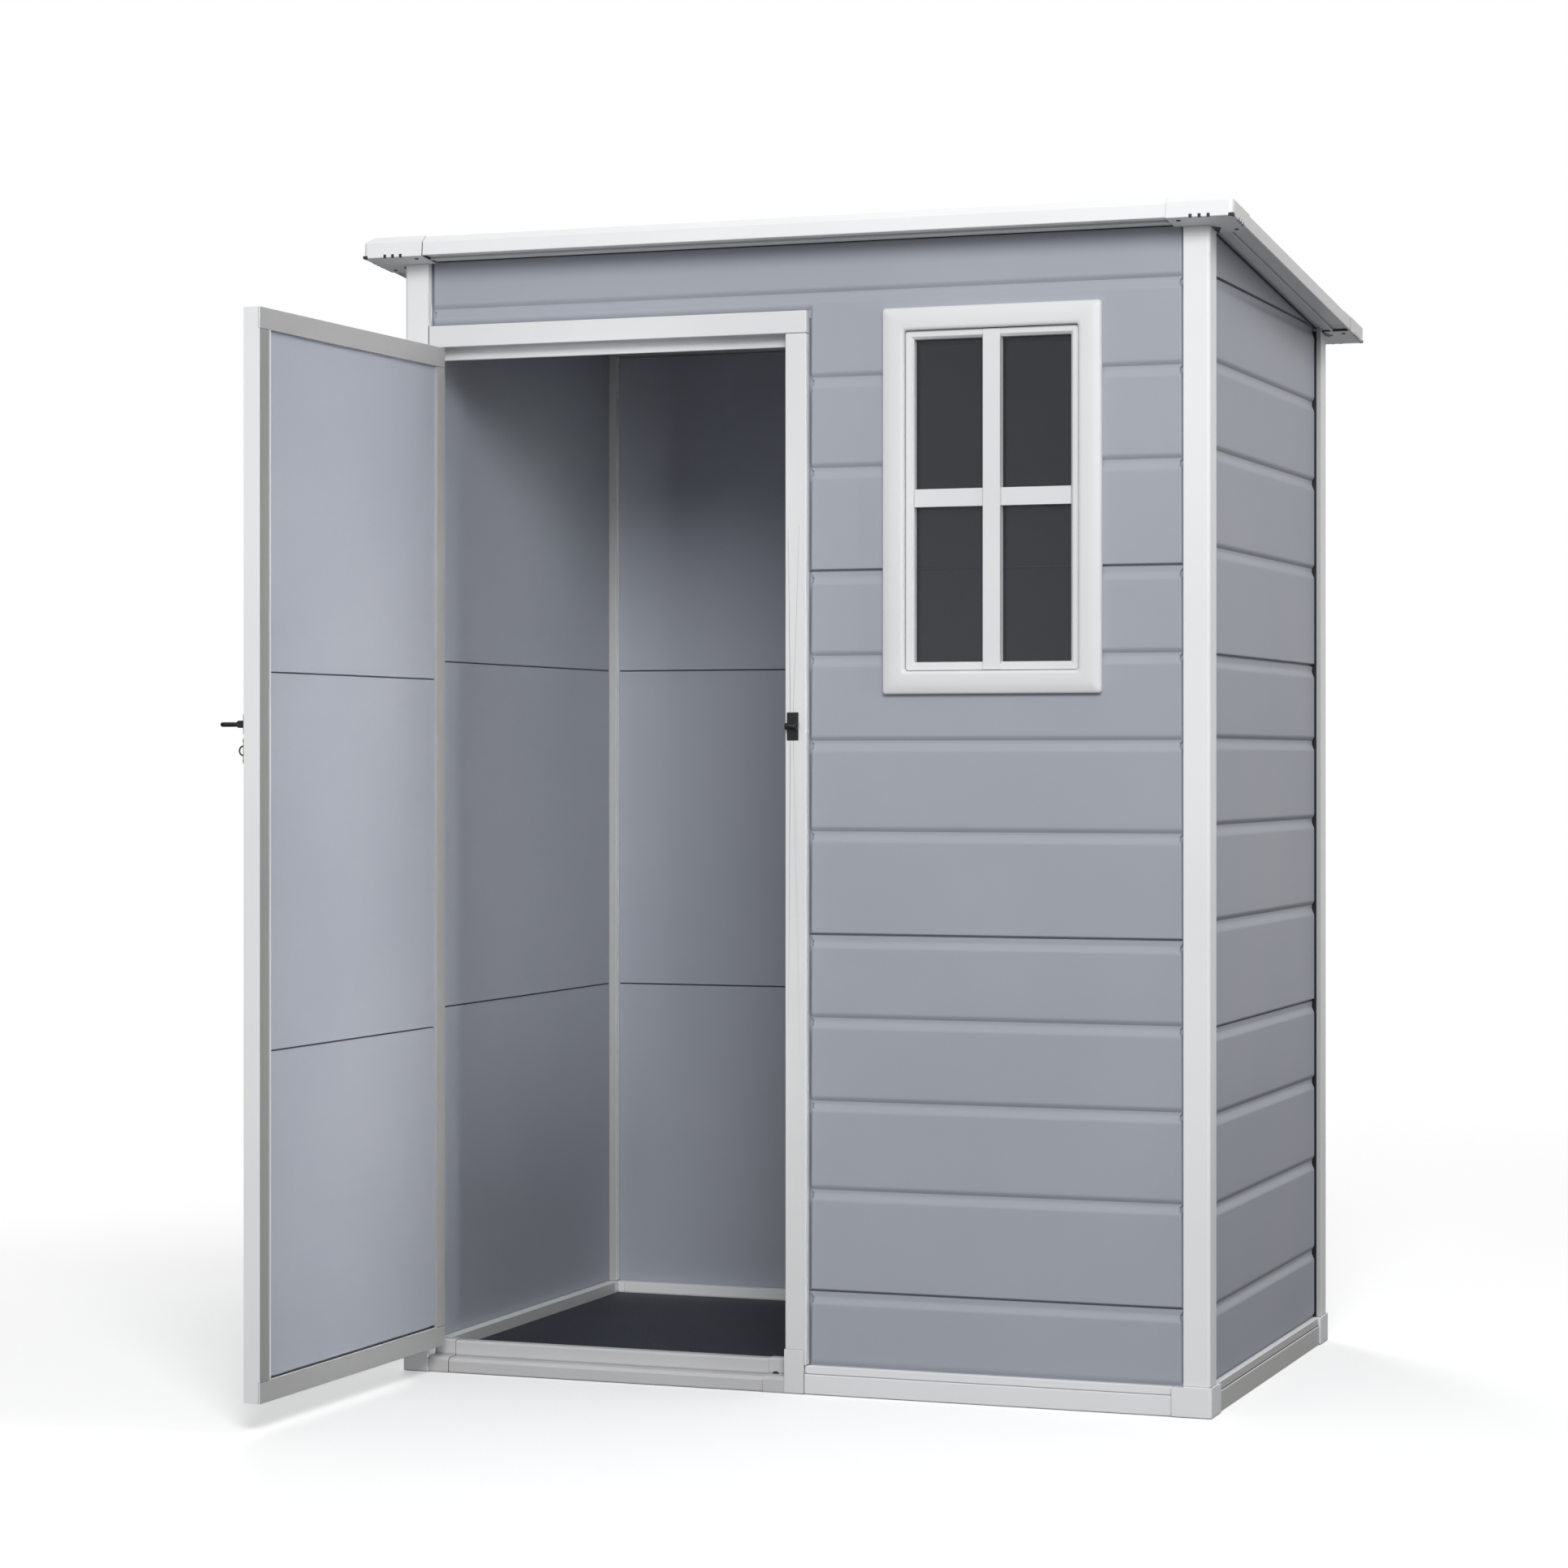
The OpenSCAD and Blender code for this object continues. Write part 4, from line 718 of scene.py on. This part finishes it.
def skirt_lines():
    """Thin shadow lines where the base rails step back over their skirts."""
    over = (31.9 * MM, 33 * MM)
    side, side_half = (674.8 * MM, 675.7 * MM), 361.5 * MM
    end, end_half, front_from = (418.8 * MM, 419.7 * MM), 617.5 * MM, 20 * MM
    sides = [brick(straight, x, (-side_half, side_half), over) for x in ((-side[1], -side[0]), side)]
    ends = [brick(straight, (front_from, end_half), (-end[1], -end[0]), over),
            brick(straight, (-end_half, end_half), end, over)]
    repeated("side_skirt_lines", sides, BRICK_QUADS, "shed", "floor")
    repeated("skirt_lines", ends, BRICK_QUADS, "shed", "panel")


def sill_drain():
    """Painted shade of the drain hole at the foot of the inner sill bar's right sleeve: a black upper half of
    an ellipse.
    """
    middle, half, foot, tall = -37.5 * MM, 5.2 * MM, 25.2 * MM, 3.6 * MM
    outline = [(middle + half * math.cos(t), foot + tall * math.sin(t)) for t in np.linspace(0, math.pi, 10)]
    # a black sheet: painted shade of the hole
    hole = outline_prism(lambda x, z, y: (x, y, z), outline, -395.4 * MM, -394 * MM)
    repeated("sill_drain", [hole], prism_quads(len(outline)), "shed", "hardware")


def eave_lines():
    """Ridges under the eaves between the caps, and grey and black strips as painted shade in the gaps beside
    them and at the walls.
    """
    left, rear, right = (cap_frames()[i] for i in (0, 1, 2))
    wide = (CAP_LEG, 2 * RING_X - CAP_LEG)
    deep = (CAP_LEG, RING_Y[1] - RING_Y[0] - CAP_LEG)
    ridge, beside = (29.6 * MM, 33.2 * MM), (28.6 * MM, 29.5 * MM)
    front_wall, rear_wall, side_wall = 64 * MM, 83 * MM, 58.8 * MM
    ridges, hollows, shadows = [], [], []
    for place, run, wall in ((left, wide, front_wall), (rear, wide, rear_wall),
                             (exchanged(left), deep, side_wall), (exchanged(right), deep, side_wall)):
        ridges.append(on_roof(brick(place, run, ridge, (-6 * MM, -4.5 * MM))))
        # grey strips beside the ridges and black strips at the walls: painted shade
        hollows.append(on_roof(brick(place, run, beside, (-2.5 * MM, -1.5 * MM))))
        shadows.append(on_roof(brick(place, run, (wall - 2.4 * MM, wall), (-3.2 * MM, -1.6 * MM))))
    repeated("eave_ridges", ridges, BRICK_QUADS, "shed", "trim")
    repeated("eave_hollows", hollows, BRICK_QUADS, "shed", "panel")
    repeated("eave_shadows", shadows, BRICK_QUADS, "shed", "hardware")


def seam_strips(place, span, seams):
    """Thin strips behind a wall's inner side, one at every seam."""
    half, deep = 0.9 * MM, (PANEL_T - 4 * MM, PANEL_T - 0.3 * MM)
    across = (span[0] + TONGUE, span[1] - TONGUE)
    return [brick(single(place), across, (z - half, z + half), deep) for z in seams]


def painted_seam_shades():
    """Dark strips as painted shade deep in the fine grooves on the inner side of every seam, and in two kinds
    of joint.

    The joints are those of the header's end and of the side walls at the rear posts.
    """
    walls = seam_strips(on_front, FRONT, FRONT_SEAMS) + seam_strips(on_rear, REAR, SIDE_SEAMS[:2])
    walls += seam_strips(on_left, SIDE, SIDE_SEAMS) + seam_strips(on_right, SIDE, SIDE_SEAMS)
    repeated("wall_seam_shadows", walls, BRICK_QUADS, "shed", "floor")
    repeated("door_seam_shadows", seam_strips(on_door, DOOR, DOOR_SEAMS), BRICK_QUADS, "door", "floor")
    top = WALL_TOP - 2 * WALL_Y * ROOF_SLOPE - 4 * MM
    far = SIDE[1] - TONGUE
    # black strips: painted shade in the gaps where the side walls meet the rear posts
    gaps = [brick(lambda u, z, depth, side=side: (side * (WALL_X - depth), u, z),
                  (far - 1.4 * MM, far), (RAIL_TOP, top), (-2.6 * MM, 5 * MM)) for side in (-1, 1)]
    repeated("rear_post_gaps", gaps, BRICK_QUADS, "shed", "hardware")
    # a black block: painted shade in the joint at the header's end
    header_end, header_face, header_height = (-0.6358, -0.6352), (-0.42156, -0.419), (1.681, 1.7155)
    joint = brick(straight, header_end, header_face, header_height)
    repeated("header_joint_shade", [joint], BRICK_QUADS, "shed", "hardware")


# Door's frame, shut: its stiles and rails, and the depth of their inner faces
DOOR_EDGES = (-634.5 * MM, -14.6 * MM)
DOOR_HEIGHTS = (46 * MM, 1678 * MM)
STILE, RAIL = 28 * MM, 32 * MM
DOOR_BACK = 21.5 * MM


def door_details():
    """The bead inside the free stile, and black lines as painted shade in the fine joints where the rails lie
    over the stiles.
    """
    left, right = DOOR_EDGES
    low, high = DOOR_HEIGHTS[0] + RAIL, DOOR_HEIGHTS[1] - RAIL
    door_place = single(on_door)
    bead_wide, bead_deep = 2 * MM, (15.5 * MM, DOOR_BACK + 2.2 * MM)
    bead = brick(door_place, (right - STILE - bead_wide, right - STILE), (low, high), bead_deep)
    repeated("door_bead", [bead], BRICK_QUADS, "door", "trim").data.materials[0] = FRAME_TRIM
    # black lines: painted shade in the joints where the rails lie over the stiles
    stiles = ((left + 1 * MM, left + STILE), (right - STILE, right - 1 * MM))
    half, deep = 0.35 * MM, (DOOR_BACK - 1 * MM, DOOR_BACK + 0.06 * MM)
    joints = [brick(door_place, ends, (z - half, z + half), deep) for ends in stiles for z in (low, high)]
    repeated("door_joint_shades", joints, BRICK_QUADS, "door", "hardware")


# Widths of the broken edges of steel pieces, of the door's frame, and of the other trims
STEEL_BREAK, DOOR_BREAK, TRIM_BREAK = 0.2 * MM, 2 * MM, 1.2 * MM
# Finishes of the CAD nodes that don't look like the rest of their slot, by how the names begin; most are
# grey on one side or greyer all over as painted shade
NODE_FINISH = (
    (("door_hinge_stile",), HINGE_TRIM),
    (("fascia_sides", "roof_caps"), EAVE_TRIM),
    (("post_rear",), REAR_TRIM),
    (("base_rail_left", "base_rail_right"), RAIL_TRIM),
    (("door_lock_stile",), LOCK_TRIM),
    (("door_top_rail", "door_bottom_rail"), DOOR_TRIM),
    (("sill_",), SILL_TRIM),
    # the header takes the greyer frame resin as painted shade against the inside lamp's light
    (("window_frame", "window_sash", "door_jamb", "door_header", "jamb_"), FRAME_TRIM),
)


def dress_cad_nodes():
    """Gives every CAD node its finish, and breaks the sharp edges of the rigid trims."""
    slots = {s["node"]: s["material_slot"] for s in frame["record"]["subparts"]}
    steel = {"bolt_rod", "bolt_handle", "bolt_plate", "bolt_keeper", "padlock_staple", "frame_screws",
             "door_screws", "hinge_leaves_frame", "hinge_leaves_door"}
    for name, obj in frame["nodes"].items():
        special = [finish for starts, finish in NODE_FINISH if name.startswith(starts)]
        obj.data.materials.clear()
        obj.data.materials.append(special[0] if special else FINISH[slots[name]])
        weld = obj.modifiers.new("weld", "WELD")
        weld.merge_threshold = 0.00001
        bevel = obj.modifiers.new("bevel", "BEVEL")
        on_frame = name.startswith("door_")
        bevel.width = STEEL_BREAK if name in steel else DOOR_BREAK if on_frame else TRIM_BREAK
        bevel.segments = 2
        bevel.limit_method = "ANGLE"
        bevel.angle_limit = math.radians(28)
        bevel.harden_normals = True
        bevel.use_clamp_overlap = True


def aim_camera():
    """Camera at the photograph's place."""
    camera = bpy.data.objects.new("camera", bpy.data.cameras.new("camera"))
    bpy.context.scene.collection.objects.link(camera)
    camera.location = (2.0578, -6.0715, 1.0037)
    camera.rotation_euler = (math.radians(90), 0, math.radians(20.138))
    camera.data.lens = 87.13
    camera.data.sensor_width = 36
    camera.data.shift_x = 0.0002
    camera.data.shift_y = -0.0153
    bpy.context.scene.camera = camera


def white_world():
    """Soft light from everywhere, and plain white where the world itself is seen."""
    world = bpy.data.worlds.new("studio")
    bpy.context.scene.world = world
    world.use_nodes = True
    tree = world.node_tree
    back = tree.nodes["Background"]
    back.inputs["Color"].default_value = (1, 1, 1, 1)
    back.inputs["Strength"].default_value = 0.42
    plain = tree.nodes.new("ShaderNodeBackground")
    plain.inputs["Color"].default_value = (1, 1, 1, 1)
    path = tree.nodes.new("ShaderNodeLightPath")
    seen = path.outputs["Is Camera Ray"]
    for ray in ("Is Transmission Ray", "Is Glossy Ray"):
        either = tree.nodes.new("ShaderNodeMath")
        either.operation = "MAXIMUM"
        tree.links.new(seen, either.inputs[0])
        tree.links.new(path.outputs[ray], either.inputs[1])
        seen = either.outputs[0]
    mix = tree.nodes.new("ShaderNodeMixShader")
    tree.links.new(seen, mix.inputs[0])
    tree.links.new(back.outputs[0], mix.inputs[1])
    tree.links.new(plain.outputs[0], mix.inputs[2])
    tree.links.new(mix.outputs[0], tree.nodes["World Output"].inputs["Surface"])


def lamp(name, place, target, size, watts, spread=180, height=None):
    """An area lamp at place that faces target: a disk, or a rectangle where height is given."""
    data = bpy.data.lights.new(name, "AREA")
    data.shape = "RECTANGLE" if height else "DISK"
    data.size = size
    data.size_y = height or size
    data.energy = watts
    data.spread = math.radians(spread)
    obj = bpy.data.objects.new(name, data)
    obj.location = place
    aim = np.array(target) - np.array(place)
    flat = math.hypot(aim[0], aim[1])
    obj.rotation_euler = (math.pi / 2 + math.atan2(aim[2], flat), 0, math.atan2(-aim[0], aim[1]))
    bpy.context.scene.collection.objects.link(obj)


def studio_floor():
    """A pale ground that fades out to the white world, and gives back less light than it shows."""
    n = Nodes("studio_floor")
    rays = n.add("ShaderNodeLightPath")
    n.link(n.mix(rays.outputs["Is Camera Ray"], srgb(116, 116, 116), srgb(250, 250, 250)),
           n.shader.inputs["Base Color"])
    n.shader.inputs["Emission Color"].default_value = (1, 1, 1, 1)
    glow = n.add("ShaderNodeMath", operation="MULTIPLY")
    n.link(rays.outputs["Is Camera Ray"], glow.inputs[0])
    glow.inputs[1].default_value = 0.2
    n.link(glow.outputs[0], n.shader.inputs["Emission Strength"])
    n.link(n.spread(n.noise(2), 0.8, 0.9), n.shader.inputs["Roughness"])
    n.shader.inputs["Specular IOR Level"].default_value = 0.1
    far = n.add("ShaderNodeVectorMath", operation="LENGTH")
    n.link(n.coord.outputs["Object"], far.inputs[0])
    fade = n.add("ShaderNodeMath", operation="MULTIPLY")
    n.link(n.spread(far.outputs["Value"], 0, 1, 2.2, 4.5), fade.inputs[0])
    n.link(rays.outputs["Is Camera Ray"], fade.inputs[1])
    clear = n.add("ShaderNodeBsdfTransparent")
    blend = n.add("ShaderNodeMixShader")
    n.link(fade.outputs[0], blend.inputs[0])
    n.link(n.shader.outputs[0], blend.inputs[1])
    n.link(clear.outputs[0], blend.inputs[2])
    n.link(blend.outputs[0], n.output.inputs["Surface"])
    mesh = bpy.data.meshes.new("studio_floor")
    reach, down = 6.0, -0.0005
    corners = [(-reach, -reach, down), (reach, -reach, down), (reach, reach, down), (-reach, reach, down)]
    mesh.from_pydata(corners, [], [(0, 1, 2, 3)])
    mesh.materials.append(n.material)
    floor = bpy.data.objects.new("studio_floor", mesh)
    bpy.context.scene.collection.objects.link(floor)


def studio():
    """Camera, world, lamps and floor. The door and inside lamps light the open door and the doorway."""
    aim_camera()
    white_world()
    lamp("key", (2.1, -5.5, 3.8), (0.45, -0.4, 0.9), 2.4, 234)
    lamp("side", (3.4, -0.4, 5.0), (0.667, 0, 1.7), 1.6, 40)
    lamp("door", (5.6, -1.8, 0.8), (-0.634, -0.73, 0.8), 0.3, 2.2, 11, 1.8)
    lamp("rear", (-3.2, 4.6, 3.6), (0, 0, 1.0), 2.4, 110)
    lamp("inside", (1.7, -3.2, 0.8), (-0.32, -0.42, 1.0), 0.2, 0.55, 9, 1.2)
    studio_floor()
    bpy.context.scene.view_settings.view_transform = "Standard"


dress_cad_nodes()
wall_panels()
door_panels()
roof_cap_details()
eave_lines()
skirt_lines()
sill_drain()
door_details()
window_frame()
painted_seam_shades()
studio()
